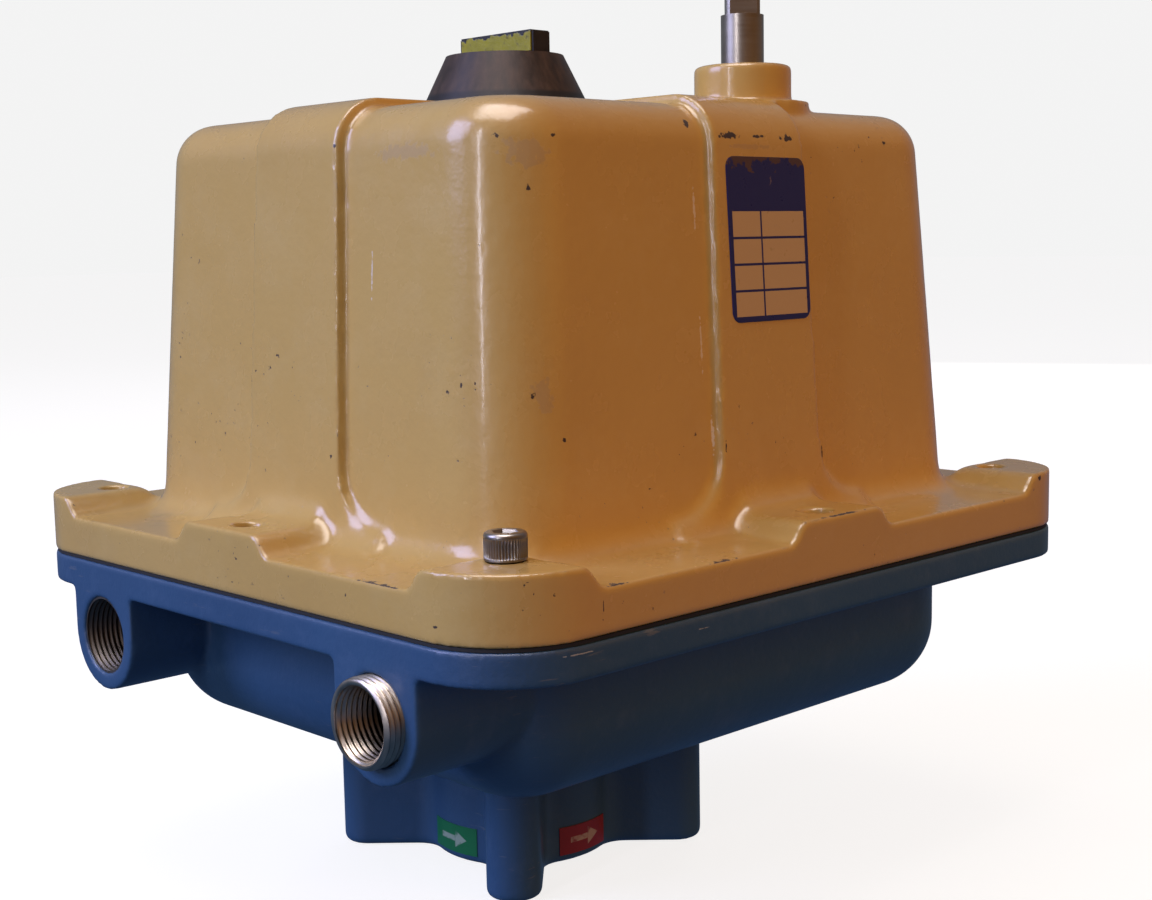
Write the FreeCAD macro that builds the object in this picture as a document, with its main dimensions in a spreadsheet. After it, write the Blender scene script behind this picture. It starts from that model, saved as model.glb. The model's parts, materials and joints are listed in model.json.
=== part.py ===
import FreeCAD, Part
import Sketcher
import math
import os
from FreeCAD import Placement, Rotation, Vector

# Electric quarter-turn valve actuator: a gasketed two-part casting on a four-armed pedestal, with a
# motor, a three-stage spur train, a manual override shaft, limit switches and a position indicator.
# Origin: centre of the output drive on the pedestal's mounting face. +Z up, -Y is the conduit side.

doc = FreeCAD.newDocument("Actuator")
sheet = doc.addObject("Spreadsheet::Sheet", "Sizes")

SIZES = {
    # housing outline
    "housing_x": 10.5,
    "housing_y": 11.0,
    "flange_x": 256.0,
    "flange_y": 282.0,
    "flange_corner": 30.0,
    "rim_bottom": 103.0,
    "rim_top": 113.0,
    "gasket_thick": 1.0,
    "wall": 6.5,
    # base pan and pedestal
    "pan_inset": 30.0,
    "pan_corner": 28.0,
    "pan_bottom": 53.5,
    "pan_fillet": 25.0,
    "hub_radius": 33.0,
    "arm_reach": 65.5,
    "arm_half": 9.4,
    "arm_root_radius": 9.0,
    "arm_edge_radius": 2.5,
    "bolt_circle_radius": 51.0,
    "bolt_hole_radius": 4.25,
    "bolt_hole_depth": 22.0,
    # conduit ports
    "port_spacing": 150.0,
    "port_height": 88.5,
    "port_boss_radius": 18.6,
    "port_boss_length": 46.0,
    "port_bore_radius": 13.0,
    "bushing_bore_radius": 11.0,
    "bushing_proud": 5.5,
    "bushing_length": 24.0,
    # cover
    "web_top": 127.0,
    "pad_top": 133.5,
    "cover_inset_low": 28.6,
    "cover_inset_high": 37.0,
    "cover_top": 259.0,
    "cover_corner": 24.0,
    "cover_fillet": 14.0,
    "foot_fillet": 8.0,
    "band_rise": 3.0,
    "band_half_low": 24.6,
    "band_half_high": 21.0,
    "band_foot_half": 46.0,
    "band_flare": 19.0,
    "corner_pad": 31.9,
    "middle_pad_half": 19.4,
    "pad_ramp": 5.0,
    "pad_blend": 5.0,
    "corner_hole_inset": 23.1,
    "middle_hole_inset": 10.7,
    "cover_hole_radius": 4.8,
    "screw_radius": 3.97,
    "screw_head_radius": 5.95,
    "screw_head_height": 7.9,
    "screw_length": 28.6,
    "hex_key_across": 6.35,
    "label_width": 38.0,
    "label_height": 51.0,
    "label_middle": 217.0,
    # output shaft
    "drive_radius": 24.0,
    "drive_bore_radius": 14.0,
    "drive_bore_depth": 42.0,
    "drive_key_width": 8.0,
    "drive_key_rise": 3.3,
    "bush_radius": 27.0,
    "gear_seat_radius": 17.0,
    "journal_radius": 15.0,
    "cam_seat_radius": 12.0,
    "stem_radius": 9.0,
    "running_gap": 0.05,
    "indicator_bottom": 264.5,
    "indicator_top": 281.6,
    "indicator_low_radius": 28.9,
    "indicator_high_radius": 20.5,
    "rib_length": 38.0,
    "insert_length": 36.0,
    "rib_width": 7.5,
    "rib_height": 6.9,
    # gear train
    "output_teeth": 60,
    "output_module": 2.0,
    "third_pinion_teeth": 12,
    "override_teeth": 24,
    "third_gear_teeth": 48,
    "third_module": 1.25,
    "second_pinion_teeth": 12,
    "second_gear_teeth": 54,
    "second_module": 0.8,
    "motor_pinion_teeth": 15,
    "mesh_play": 0.12,
    "output_gear_bottom": 74.0,
    "output_gear_width": 14.0,
    "third_gear_bottom": 89.5,
    "third_gear_width": 7.5,
    "second_gear_bottom": 99.0,
    "second_gear_width": 5.0,
    "arbor_radius": 4.0,
    "bush_outer": 7.0,
    "plate_bottom": 107.0,
    "plate_thick": 4.0,
    "standoff_radius": 6.0,
    "third_angle": 110.0,
    "second_angle": 10.0,
    "motor_angle": -20.0,
    "override_angle": 29.0,
    # override shaft
    "override_radius": 7.15,
    "override_square": 11.1,
    "override_square_bottom": 291.0,
    "override_top": 305.0,
    "override_boss_radius": 16.2,
    "override_boss_top": 274.4,
    "override_pad_radius": 22.0,
    # motor
    "motor_radius": 32.0,
    "motor_height": 74.0,
    "motor_wall": 2.0,
    "motor_shaft_radius": 4.0,
    "rotor_radius": 19.0,
    "stator_bore": 19.6,
    # cams and switches
    "cam_radius": 18.0,
    "lobe_radius": 22.3,
    "cam_thick": 6.0,
    "closed_cam_bottom": 146.0,
    "open_cam_bottom": 164.0,
    "switch_face": -30.0,
    "switch_depth": 15.9,
    "switch_length": 27.8,
    "switch_height": 10.3,
    "lever_pivot_x": -28.4,
    "lever_pivot_y": -13.0,
    "roller_radius": 2.4,
}


class Size:
    """A dimension that keeps its number beside the spreadsheet expression that gives it."""

    def __init__(self, value, text):
        self.value = value
        self.text = text

    def __add__(self, other):
        return merge(self, other, "+")

    def __radd__(self, other):
        return merge(other, self, "+")

    def __sub__(self, other):
        return merge(self, other, "-")

    def __rsub__(self, other):
        return merge(other, self, "-")

    def __mul__(self, other):
        return merge(self, other, "*")

    def __rmul__(self, other):
        return merge(other, self, "*")

    def __truediv__(self, other):
        return merge(self, other, "/")

    def __neg__(self):
        return merge(0.0, self, "-")


def as_size(item):
    if isinstance(item, Size):
        return item
    return Size(float(item), f"({float(item):.6f})")


def merge(left, right, sign):
    left, right = as_size(left), as_size(right)
    totals = {
        "+": left.value + right.value,
        "-": left.value - right.value,
        "*": left.value * right.value,
        "/": left.value / right.value if right.value else 0.0,
    }
    return Size(totals[sign], f"({left.text} {sign} {right.text})")


def fill_sheet():
    """Writes every size into its own named cell."""
    for row, (name, value) in enumerate(SIZES.items(), start=1):
        sheet.set(f"A{row}", name)
        sheet.set(f"B{row}", str(value))
        sheet.setAlias(f"B{row}", name)
    doc.recompute()


def dim(name):
    return Size(float(SIZES[name]), f"Sizes.{name}")


def polar(radius, angle, about=(0.0, 0.0)):
    """A point at a radius and angle in degrees, with both coordinates as sizes."""
    radius, angle = as_size(radius), as_size(angle)
    turn = math.radians(angle.value)
    along = Size(radius.value * math.cos(turn), f"({radius.text} * cos({angle.text} * 1deg))")
    across = Size(radius.value * math.sin(turn), f"({radius.text} * sin({angle.text} * 1deg))")
    return about[0] + along, about[1] + across


def bind(item, prop, size):
    """Binds one property to the sheet, or sets it when it is a plain number."""
    if isinstance(size, Size):
        item.setExpression(prop, size.text)
    elif prop.startswith("Placement.") or prop.startswith("AttachmentOffset."):
        item.setExpression(prop, f"{float(size):.6f}")
    else:
        setattr(item, prop, float(size))


def place(item, pos, rotation=None):
    if rotation is not None:
        item.Placement = Placement(Vector(0, 0, 0), rotation)
    for axis, size in zip("xyz", pos):
        bind(item, f"Placement.Base.{axis}", size)
    return item


# ---- Part primitives ----------------------------------------------------------------------------

AXES = {
    "z": Rotation(),
    "x": Rotation(Vector(0, 1, 0), 90),
    "y": Rotation(Vector(1, 0, 0), -90),
}


def cylinder(name, radius, height, pos, axis="z", sweep=None, start=0.0):
    item = doc.addObject("Part::Cylinder", name)
    bind(item, "Radius", radius)
    bind(item, "Height", height)
    if sweep is not None:
        bind(item, "Angle", sweep)
    spin = Rotation(Vector(0, 0, 1), start)
    return place(item, pos, AXES[axis].multiply(spin))


def cone(name, low_radius, high_radius, height, pos):
    item = doc.addObject("Part::Cone", name)
    bind(item, "Radius1", low_radius)
    bind(item, "Radius2", high_radius)
    bind(item, "Height", height)
    return place(item, pos)


def torus(name, ring_radius, wire_radius, pos):
    item = doc.addObject("Part::Torus", name)
    bind(item, "Radius1", ring_radius)
    bind(item, "Radius2", wire_radius)
    return place(item, pos)


def box(name, size, pos, rotation=None):
    item = doc.addObject("Part::Box", name)
    for prop, length in zip(("Length", "Width", "Height"), size):
        bind(item, prop, length)
    return place(item, pos, rotation)


def centred_box(name, size, centre_x, centre_y, bottom):
    """A box centred on a point in plan, standing on a height."""
    return box(name, size, (centre_x - size[0] / 2, centre_y - size[1] / 2, bottom))


def turned_box(name, size, centre_x, centre_y, bottom, angle):
    """A centred box turned about the vertical through its own centre."""
    item = centred_box(name, size, 0.0, 0.0, 0.0)
    item.Placement = Placement()
    carrier = doc.addObject("Part::Compound", name + "_turned")
    for axis, length in zip("xy", size):
        bind(item, f"Placement.Base.{axis}", -as_size(length) / 2)
    carrier.Links = [item]
    return place(carrier, (centre_x, centre_y, bottom), Rotation(Vector(0, 0, 1), angle))


def hexagon(name, across, height, pos):
    item = doc.addObject("Part::Prism", name)
    item.Polygon = 6
    bind(item, "Circumradius", across / math.sqrt(3.0))
    bind(item, "Height", height)
    return place(item, pos)


def fuse(name, items):
    item = doc.addObject("Part::MultiFuse", name)
    item.Shapes = items
    return item


def common(name, first, second):
    item = doc.addObject("Part::MultiCommon", name)
    item.Shapes = [first, second]
    return item


def cut(name, base, tools):
    """The base less one or more tools."""
    tool = tools[0] if len(tools) == 1 else fuse(name + "_tools", tools)
    item = doc.addObject("Part::Cut", name)
    item.Base = base
    item.Tool = tool
    return item


def group(name, items):
    """Separate solids that share one node."""
    item = doc.addObject("Part::Compound", name)
    item.Links = items
    return item


def ring(name, outer, inner, height, pos):
    outside = cylinder(name + "_outside", outer, height, pos)
    inside = cylinder(name + "_inside", inner, height, pos)
    return cut(name, outside, [inside])


# ---- PartDesign bodies --------------------------------------------------------------------------

def new_body(name):
    return doc.addObject("PartDesign::Body", name)


def origin_plane(body, role):
    return next(item for item in body.Origin.OriginFeatures if item.Role == role)


def new_sketch(body, name, role="XY_Plane", offset=0.0):
    sketch = body.newObject("Sketcher::SketchObject", name)
    sketch.AttachmentSupport = [(origin_plane(body, role), "")]
    sketch.MapMode = "FlatFace"
    bind(sketch, "AttachmentOffset.Base.z", offset)
    return sketch


def fix_point(sketch, geometry, vertex, point):
    """Ties one vertex of a sketch to bound distances from the sketch's origin."""
    for kind, size in zip(("DistanceX", "DistanceY"), point):
        size = as_size(size)
        index = sketch.addConstraint(Sketcher.Constraint(kind, geometry, vertex, size.value))
        sketch.setExpression(f"Constraints[{index}]", size.text)


def polygon(sketch, points):
    """A closed outline of straight edges, each corner tied to the sheet."""
    spots = [Vector(as_size(x).value, as_size(y).value, 0) for x, y in points]
    count = len(points)
    for index in range(count):
        sketch.addGeometry(Part.LineSegment(spots[index], spots[(index + 1) % count]), False)
    for index in range(count):
        sketch.addConstraint(Sketcher.Constraint("Coincident", index, 2, (index + 1) % count, 1))
    for index, point in enumerate(points):
        fix_point(sketch, index, 1, point)
    return sketch


def rectangle(sketch, centre, half_x, half_y):
    low_x, high_x = centre[0] - half_x, centre[0] + half_x
    low_y, high_y = centre[1] - half_y, centre[1] + half_y
    corners = [(low_x, low_y), (high_x, low_y), (high_x, high_y), (low_x, high_y)]
    return polygon(sketch, corners)


def pad(body, sketch, length, name):
    feature = body.newObject("PartDesign::Pad", name)
    feature.Profile = sketch
    bind(feature, "Length", length)
    doc.recompute()
    return feature


def loft(body, low, high, name):
    feature = body.newObject("PartDesign::AdditiveLoft", name)
    feature.Profile = low
    feature.Sections = [high]
    feature.Ruled = True
    doc.recompute()
    return feature


def round_edges(body, radius, wanted, name):
    """Fillets the edges of the body's newest feature that the test picks."""
    base = body.Tip
    names = [f"Edge{i}" for i, edge in enumerate(base.Shape.Edges, start=1) if wanted(edge)]
    if not names:
        raise RuntimeError(f"{name} has no edges")
    feature = body.newObject("PartDesign::Fillet", name)
    feature.Base = (base, names)
    bind(feature, "Radius", radius)
    doc.recompute()
    return feature


def ends(edge):
    return edge.Vertexes[0].Point, edge.Vertexes[-1].Point


def upright(edge, shortest=0.5):
    low, high = ends(edge)
    rise = abs(high.z - low.z)
    return edge.Length > shortest and rise > 0.9 * edge.Length


def flat_at(edge, height, margin=0.01):
    box_of_edge = edge.BoundBox
    return abs(box_of_edge.ZMin - height) < margin and abs(box_of_edge.ZMax - height) < margin


def turned(name, profile):
    """A solid of revolution about Z from radius and height pairs."""
    body = new_body(name)
    sketch = polygon(new_sketch(body, name + "_profile", "XZ_Plane"), profile)
    feature = body.newObject("PartDesign::Revolution", name + "_turn")
    feature.Profile = sketch
    feature.ReferenceAxis = (sketch, ["V_Axis"])
    feature.Angle = 360.0
    doc.recompute()
    return body


def stepped_shaft(name, steps, bottom):
    """A turned shaft from a list of radii and the heights where each one ends."""
    profile = [(0.0, bottom)]
    height = bottom
    for radius, end in steps:
        profile.append((radius, height))
        profile.append((radius, end))
        height = end
    profile.append((0.0, height))
    return turned(name, profile)


def moved(item, x, y, z=0.0):
    return place(item, (x, y, z))


def rounded_block(name, centre, half_x, half_y, corner, bottom, height):
    body = new_body(name)
    sketch = rectangle(new_sketch(body, name + "_outline", "XY_Plane", bottom), centre, half_x, half_y)
    pad(body, sketch, height, name + "_pad")
    round_edges(body, corner, upright, name + "_corners")
    return body


# ---- Shared positions ---------------------------------------------------------------------------

fill_sheet()

CENTRE = (dim("housing_x"), dim("housing_y"))
HALF_X = dim("flange_x") / 2
HALF_Y = dim("flange_y") / 2
COVER_BOTTOM = dim("rim_top") + dim("gasket_thick")
PAN_FLOOR = dim("pan_bottom") + dim("wall")
FRONT = CENTRE[1] - HALF_Y
GAP = dim("running_gap")
PLATE_TOP = dim("plate_bottom") + dim("plate_thick")


def centre_distance(first, second, module):
    return (dim(first) + dim(second)) * dim(module) / 2 + dim("mesh_play")


THIRD = polar(centre_distance("output_teeth", "third_pinion_teeth", "output_module"), dim("third_angle"))
SECOND = polar(
    centre_distance("third_gear_teeth", "second_pinion_teeth", "third_module"),
    dim("second_angle"), THIRD)
MOTOR = polar(
    centre_distance("second_gear_teeth", "motor_pinion_teeth", "second_module"),
    dim("motor_angle"), SECOND)
OVERRIDE = polar(
    centre_distance("output_teeth", "override_teeth", "output_module"), dim("override_angle"))
STANDOFFS = [(-62.0, -55.0), (62.0, -58.0), (66.0, 97.0), (-64.0, 98.0)]


def cover_screw_points():
    """Four corner holes and four at the middles of the sides, the near corner first."""
    corner_x = HALF_X - dim("corner_hole_inset")
    corner_y = HALF_Y - dim("corner_hole_inset")
    points = [(CENTRE[0] + corner_x, CENTRE[1] - corner_y), (CENTRE[0] - corner_x, CENTRE[1] + corner_y)]
    points += [(CENTRE[0] + corner_x, CENTRE[1] + corner_y), (CENTRE[0] - corner_x, CENTRE[1] - corner_y)]
    for side in (-1, 1):
        points.append((CENTRE[0] + side * (HALF_X - dim("middle_hole_inset")), CENTRE[1]))
        points.append((CENTRE[0], CENTRE[1] + side * (HALF_Y - dim("middle_hole_inset"))))
    return points


# ---- Gears --------------------------------------------------------------------------------------

def involute_flank(base_radius, start_radius, tip_radius, turn, side):
    """One flank from root to tip, as a smooth curve through points of the involute."""
    points = []
    for step in range(7):
        radius = start_radius + (tip_radius - start_radius) * step / 6.0
        roll = math.sqrt(max((radius / base_radius) ** 2 - 1.0, 0.0))
        angle = turn + side * (roll - math.atan(roll))
        points.append(Vector(radius * math.cos(angle), radius * math.sin(angle), 0))
    curve = Part.BSplineCurve()
    curve.interpolate(points)
    return curve.toShape(), points[0], points[-1]


def arc_between(first, last):
    middle = first + last
    middle.multiply(first.Length / middle.Length)
    return Part.Arc(first, middle, last).toShape()


def gear_outline(teeth, module, thinning):
    """A full ring of involute teeth; the first tooth is centred on +X."""
    pitch_radius = teeth * module / 2
    base_radius = pitch_radius * math.cos(math.radians(20))
    root_radius = pitch_radius - 1.25 * module
    tip_radius = pitch_radius + module
    start_radius = max(base_radius, root_radius)
    pitch_roll = math.tan(math.radians(20)) - math.radians(20)
    half_tooth = math.pi / (2 * teeth) - thinning / (2 * pitch_radius) + pitch_roll
    edges = []
    for tooth in range(teeth):
        middle = 2 * math.pi * tooth / teeth
        rising, rise_foot, rise_tip = involute_flank(
            base_radius, start_radius, tip_radius, middle - half_tooth, 1)
        falling, fall_foot, fall_tip = involute_flank(
            base_radius, start_radius, tip_radius, middle + half_tooth, -1)
        rise_root = rise_foot * (root_radius / start_radius)
        fall_root = fall_foot * (root_radius / start_radius)
        next_root = Rotation(Vector(0, 0, 1), 360.0 / teeth).multVec(rise_root)
        edges += [rising, arc_between(rise_tip, fall_tip), falling]
        if start_radius > root_radius + 1e-6:
            edges.append(Part.makeLine(fall_foot, fall_root))
            edges.append(Part.makeLine(rise_root, rise_foot))
        edges.append(arc_between(fall_root, next_root))
    return Part.Wire(Part.__sortEdges__(edges))


def gear_blank(name, teeth, module, width, pos, phase=0.0):
    """A toothed disc as a plain feature, placed after its shape is set."""
    item = doc.addObject("Part::Feature", name)
    outline = gear_outline(int(SIZES[teeth]), float(SIZES[module]), 0.06)
    item.Shape = Part.Face(outline).extrude(Vector(0, 0, as_size(width).value))
    item.Placement = Placement(
        Vector(*(as_size(size).value for size in pos)), Rotation(Vector(0, 0, 1), phase))
    return item


def mesh_phase(driver_teeth, driver_phase, own_teeth, line_angle):
    """Turns a gear so that a space of it faces the driver's nearest tooth on the centre line."""
    driver_pitch = 360.0 / driver_teeth
    offset = (line_angle - driver_phase) / driver_pitch
    lead = (offset - math.floor(offset)) * driver_pitch
    own_pitch = 360.0 / own_teeth
    return line_angle + 180.0 + own_pitch / 2 + lead * driver_teeth / own_teeth


# ---- Housing ------------------------------------------------------------------------------------

def base_pan():
    """The open tub with its overhanging rim."""
    body = new_body("base_pan")
    half_x = HALF_X - dim("pan_inset")
    half_y = HALF_Y - dim("pan_inset")
    outline = new_sketch(body, "pan_outline", "XY_Plane", dim("pan_bottom"))
    rectangle(outline, CENTRE, half_x, half_y)
    pad(body, outline, dim("rim_top") - dim("pan_bottom"), "pan_pad")
    round_edges(body, dim("pan_corner"), upright, "pan_corners")
    low = SIZES["pan_bottom"]
    round_edges(body, dim("pan_fillet"), lambda edge: flat_at(edge, low), "pan_underside")
    rim = new_sketch(body, "rim_outline", "XY_Plane", dim("rim_bottom"))
    rectangle(rim, CENTRE, HALF_X, HALF_Y)
    pad(body, rim, dim("rim_top") - dim("rim_bottom"), "rim_pad")
    edge_x = HALF_X.value - 1.0
    round_edges(
        body, dim("flange_corner"),
        lambda edge: upright(edge) and abs(ends(edge)[0].x - CENTRE[0].value) > edge_x, "rim_corners")
    return body


def pan_cavity():
    """The space inside the tub."""
    body = new_body("pan_cavity")
    inset = dim("pan_inset") + dim("wall")
    outline = new_sketch(body, "cavity_outline", "XY_Plane", PAN_FLOOR)
    rectangle(outline, CENTRE, HALF_X - inset, HALF_Y - inset)
    pad(body, outline, dim("rim_top") - PAN_FLOOR + 1, "cavity_pad")
    round_edges(body, dim("pan_corner") - dim("wall"), upright, "cavity_corners")
    low = PAN_FLOOR.value
    round_edges(body, dim("pan_fillet") - dim("wall"), lambda edge: flat_at(edge, low), "cavity_floor")
    return body


def circle(sketch, radius):
    """A circle on the sketch's origin, its radius tied to the sheet."""
    sketch.addGeometry(Part.Circle(Vector(0, 0, 0), Vector(0, 0, 1), radius.value), False)
    sketch.addConstraint(Sketcher.Constraint("Coincident", 0, 3, -1, 1))
    index = sketch.addConstraint(Sketcher.Constraint("Radius", 0, radius.value))
    sketch.setExpression(f"Constraints[{index}]", radius.text)
    return sketch


def pedestal():
    """A round hub and four arms that carry the mounting bolts."""
    body = new_body("pedestal")
    height = PAN_FLOOR - 1
    pad(body, circle(new_sketch(body, "hub_outline"), dim("hub_radius")), height, "hub_pad")
    outline = []
    half, reach = dim("arm_half"), dim("arm_reach")
    for index in range(4):
        angle = 45.0 + 90.0 * index
        for across in (-half, half):
            tip = polar(reach, angle)
            outline.append(polar(across, angle + 90.0, tip))
        root = polar(half, angle, polar(half, angle + 90.0))
        outline.append(root)
    pad(body, polygon(new_sketch(body, "arms_outline"), outline), height, "arms_pad")
    tip_radius = math.hypot(SIZES["arm_reach"], SIZES["arm_half"])
    hub_radius = SIZES["hub_radius"]

    def distance(edge):
        return math.hypot(ends(edge)[0].x, ends(edge)[0].y)

    round_edges(
        body, dim("arm_half") - 0.3,
        lambda edge: upright(edge) and abs(distance(edge) - tip_radius) < 0.1, "arm_tips")
    round_edges(
        body, dim("arm_root_radius"),
        lambda edge: upright(edge) and abs(distance(edge) - hub_radius) < 0.1, "arm_roots")
    round_edges(body, dim("arm_edge_radius"), lambda edge: flat_at(edge, 0.0), "arm_bottoms")
    return body


def port_bosses():
    pieces = []
    for side, name in ((-1, "left"), (1, "right")):
        x = CENTRE[0] + side * dim("port_spacing") / 2
        length = dim("port_boss_length")
        pieces.append(cylinder(
            f"{name}_boss", dim("port_boss_radius"), length, (x, FRONT, dim("port_height")), "y"))
        web_height = dim("rim_bottom") - dim("port_height") + 1
        pieces.append(box(
            f"{name}_boss_web", (dim("port_boss_radius") * 2, length, web_height),
            (x - dim("port_boss_radius"), FRONT, dim("port_height"))))
    return pieces


def port_bores():
    bores = []
    for side, name in ((-1, "left"), (1, "right")):
        x = CENTRE[0] + side * dim("port_spacing") / 2
        bores.append(cylinder(
            f"{name}_port_bore", dim("port_bore_radius"), dim("port_boss_length") + 4,
            (x, FRONT - 1, dim("port_height")), "y"))
    return bores


def floor_bosses():
    """Seats cast on the tub's floor for the arbors and the plate's standoffs."""
    bosses = []
    for index, point in enumerate([THIRD, SECOND, OVERRIDE]):
        bosses.append(cylinder(f"arbor_boss_{index}", 11.0, 9.0, (*point, PAN_FLOOR - 1)))
    for index, point in enumerate(STANDOFFS):
        bosses.append(cylinder(f"standoff_boss_{index}", 9.0, 13.0, (*point, PAN_FLOOR - 5)))
    return bosses


def base_casting():
    tub = cut("base_tub", fuse("base_outside", [base_pan(), pedestal()] + port_bosses()), [pan_cavity()])
    casting = fuse("base_with_bosses", [tub] + floor_bosses())
    holes = [cylinder("hub_bore", dim("bush_radius"), PAN_FLOOR + 2, (0, 0, -1))]
    holes += port_bores()
    for index in range(4):
        point = polar(dim("bolt_circle_radius"), 45.0 + 90.0 * index)
        holes.append(cylinder(
            f"mounting_hole_{index}", dim("bolt_hole_radius"), dim("bolt_hole_depth") + 1, (*point, -1)))
    for index, point in enumerate(cover_screw_points()):
        depth = dim("rim_top") - dim("rim_bottom") + 2
        holes.append(cylinder(
            f"rim_hole_{index}", dim("screw_radius"), depth, (*point, dim("rim_bottom") - 1)))
    for index, point in enumerate([THIRD, SECOND, OVERRIDE]):
        radius = dim("bush_outer") if index < 2 else dim("bush_outer") + 2
        holes.append(cylinder(f"arbor_seat_{index}", radius, 6.0, (*point, PAN_FLOOR + 2)))
    for index, point in enumerate(STANDOFFS):
        holes.append(cylinder(f"standoff_tap_{index}", 2.5, 8.0, (*point, PAN_FLOOR)))
    ground_x = CENTRE[0] + dim("port_spacing") / 2 - 40
    holes.append(cylinder("ground_tap", 2.4, 8.0, (ground_x, -70.0, dim("pan_bottom") + 2)))
    return cut("base_casting", casting, holes)


def cover_block(name, rise, plate_top):
    """The drafted upper box on a plate, with its foot blended into the plate."""
    body = new_body(name)
    plate = new_sketch(body, name + "_plate", "XY_Plane", COVER_BOTTOM)
    rectangle(plate, CENTRE, HALF_X, HALF_Y)
    pad(body, plate, plate_top - COVER_BOTTOM, name + "_plate_pad")
    round_edges(body, dim("flange_corner"), upright, name + "_plate_corners")
    low = new_sketch(body, name + "_low", "XY_Plane", COVER_BOTTOM)
    low_inset = dim("cover_inset_low") - rise
    rectangle(low, CENTRE, HALF_X - low_inset, HALF_Y - low_inset)
    high = new_sketch(body, name + "_high", "XY_Plane", dim("cover_top") + rise)
    high_inset = dim("cover_inset_high") - rise
    rectangle(high, CENTRE, HALF_X - high_inset, HALF_Y - high_inset)
    loft(body, low, high, name + "_loft")
    round_edges(
        body, dim("cover_corner") + rise, lambda edge: upright(edge, 60.0), name + "_corners")
    top = SIZES["cover_top"] + as_size(rise).value
    round_edges(
        body, dim("cover_fillet") + rise, lambda edge: flat_at(edge, top), name + "_top_edges")
    foot = as_size(plate_top).value
    inside = HALF_X.value - 20.0
    round_edges(
        body, dim("foot_fillet"),
        lambda edge: flat_at(edge, foot) and abs(edge.BoundBox.Center.x - CENTRE[0].value) < inside
        and abs(edge.BoundBox.Center.y - CENTRE[1].value) < HALF_Y.value - 20.0, name + "_foot")
    return body


def pad_run(name, role, middle, half):
    """A raised pad's outline with eased ramps, run right across the cover."""
    body = new_body(name)
    length = as_size(400.0)
    sketch = new_sketch(body, name + "_outline", role, -length / 2)
    foot = dim("web_top") - 0.03
    top = dim("pad_top")
    ramp_end = half + dim("pad_ramp")
    right = [(ramp_end + 10, COVER_BOTTOM), (ramp_end + 10, foot), (ramp_end, foot), (half, top)]
    outline = [(middle + x, z) for x, z in right] + [(middle - x, z) for x, z in reversed(right)]
    polygon(sketch, outline)
    pad(body, sketch, length, name + "_pad")
    bends = [(half.value, top.value), (ramp_end.value, foot.value)]

    def at_bend(edge):
        spot = edge.BoundBox.Center
        across = abs((spot.x if role == "XZ_Plane" else spot.y) - middle.value)
        return any(abs(across - x) < 0.1 and abs(spot.z - z) < 0.1 for x, z in bends)

    round_edges(body, dim("pad_blend"), at_bend, name + "_ease")
    return body


def pad_column(name, centre, half):
    """Carries a pad up past the foot of the wall."""
    half_x, half_y = half
    return centred_box(name, (half_x * 2, half_y * 2, 14.0), *centre, dim("pad_top") - 0.01)


def pad_columns(name):
    """Four corner pads and one in the middle of each side, each reaching out past the flange."""
    reach = as_size(60.0)
    half = (dim("corner_pad") + reach / 2) / 2
    inner = dim("pad_blend") / 2
    runs_x, runs_y, columns = [], [], []
    for side in (-1, 1):
        x = CENTRE[0] + side * (HALF_X - dim("corner_pad") + half)
        y = CENTRE[1] + side * (HALF_Y - dim("corner_pad") + half)
        runs_x.append(pad_run(f"{name}_run_x_{side + 1}", "XZ_Plane", x, half))
        runs_y.append(pad_run(f"{name}_run_y_{side + 1}", "YZ_Plane", y, half))
        columns.append(pad_column(
            f"{name}_column_x_{side + 1}", (CENTRE[0] + side * HALF_X, CENTRE[1]),
            (reach, dim("middle_pad_half") - inner)))
        columns.append(pad_column(
            f"{name}_column_y_{side + 1}", (CENTRE[0], CENTRE[1] + side * HALF_Y),
            (dim("middle_pad_half") - inner, reach)))
        for other in (-1, 1):
            corner_y = CENTRE[1] + other * (HALF_Y - dim("corner_pad") + half)
            columns.append(pad_column(
                f"{name}_column_{side + 1}{other + 1}", (x, corner_y), (half - inner, half - inner)))
    corners = common(name + "_corners", fuse(name + "_runs_x", runs_x), fuse(name + "_runs_y", runs_y))
    middles = [
        pad_run(name + "_middle_x", "XZ_Plane", CENTRE[0], dim("middle_pad_half")),
        pad_run(name + "_middle_y", "YZ_Plane", CENTRE[1], dim("middle_pad_half"))]
    return fuse(name, [corners] + middles + columns)


def band(name, role, centre, length):
    """The outline of a raised band, wide at its foot and narrow above, run right across the cover."""
    body = new_body(name)
    sketch = new_sketch(body, name + "_outline", role, -as_size(length) / 2)
    foot = dim("pad_top") - 0.5
    top = dim("cover_top") + 12
    low = COVER_BOTTOM - 1
    right = [(dim("band_foot_half"), low), (dim("band_foot_half"), foot)]
    right += [(dim("band_half_low"), foot), (dim("band_half_high"), top)]
    outline = [(centre + x, z) for x, z in right] + [(centre - x, z) for x, z in reversed(right)]
    polygon(sketch, outline)
    pad(body, sketch, length, name + "_pad")
    low_half = SIZES["band_half_low"]

    def at_foot(edge):
        spot = edge.BoundBox.Center
        across = spot.x if role == "XZ_Plane" else spot.y
        return abs(spot.z - foot.value) < 0.1 and abs(abs(across - centre.value) - low_half) < 0.1

    round_edges(body, dim("band_flare"), at_foot, name + "_flare")
    return body


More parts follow.
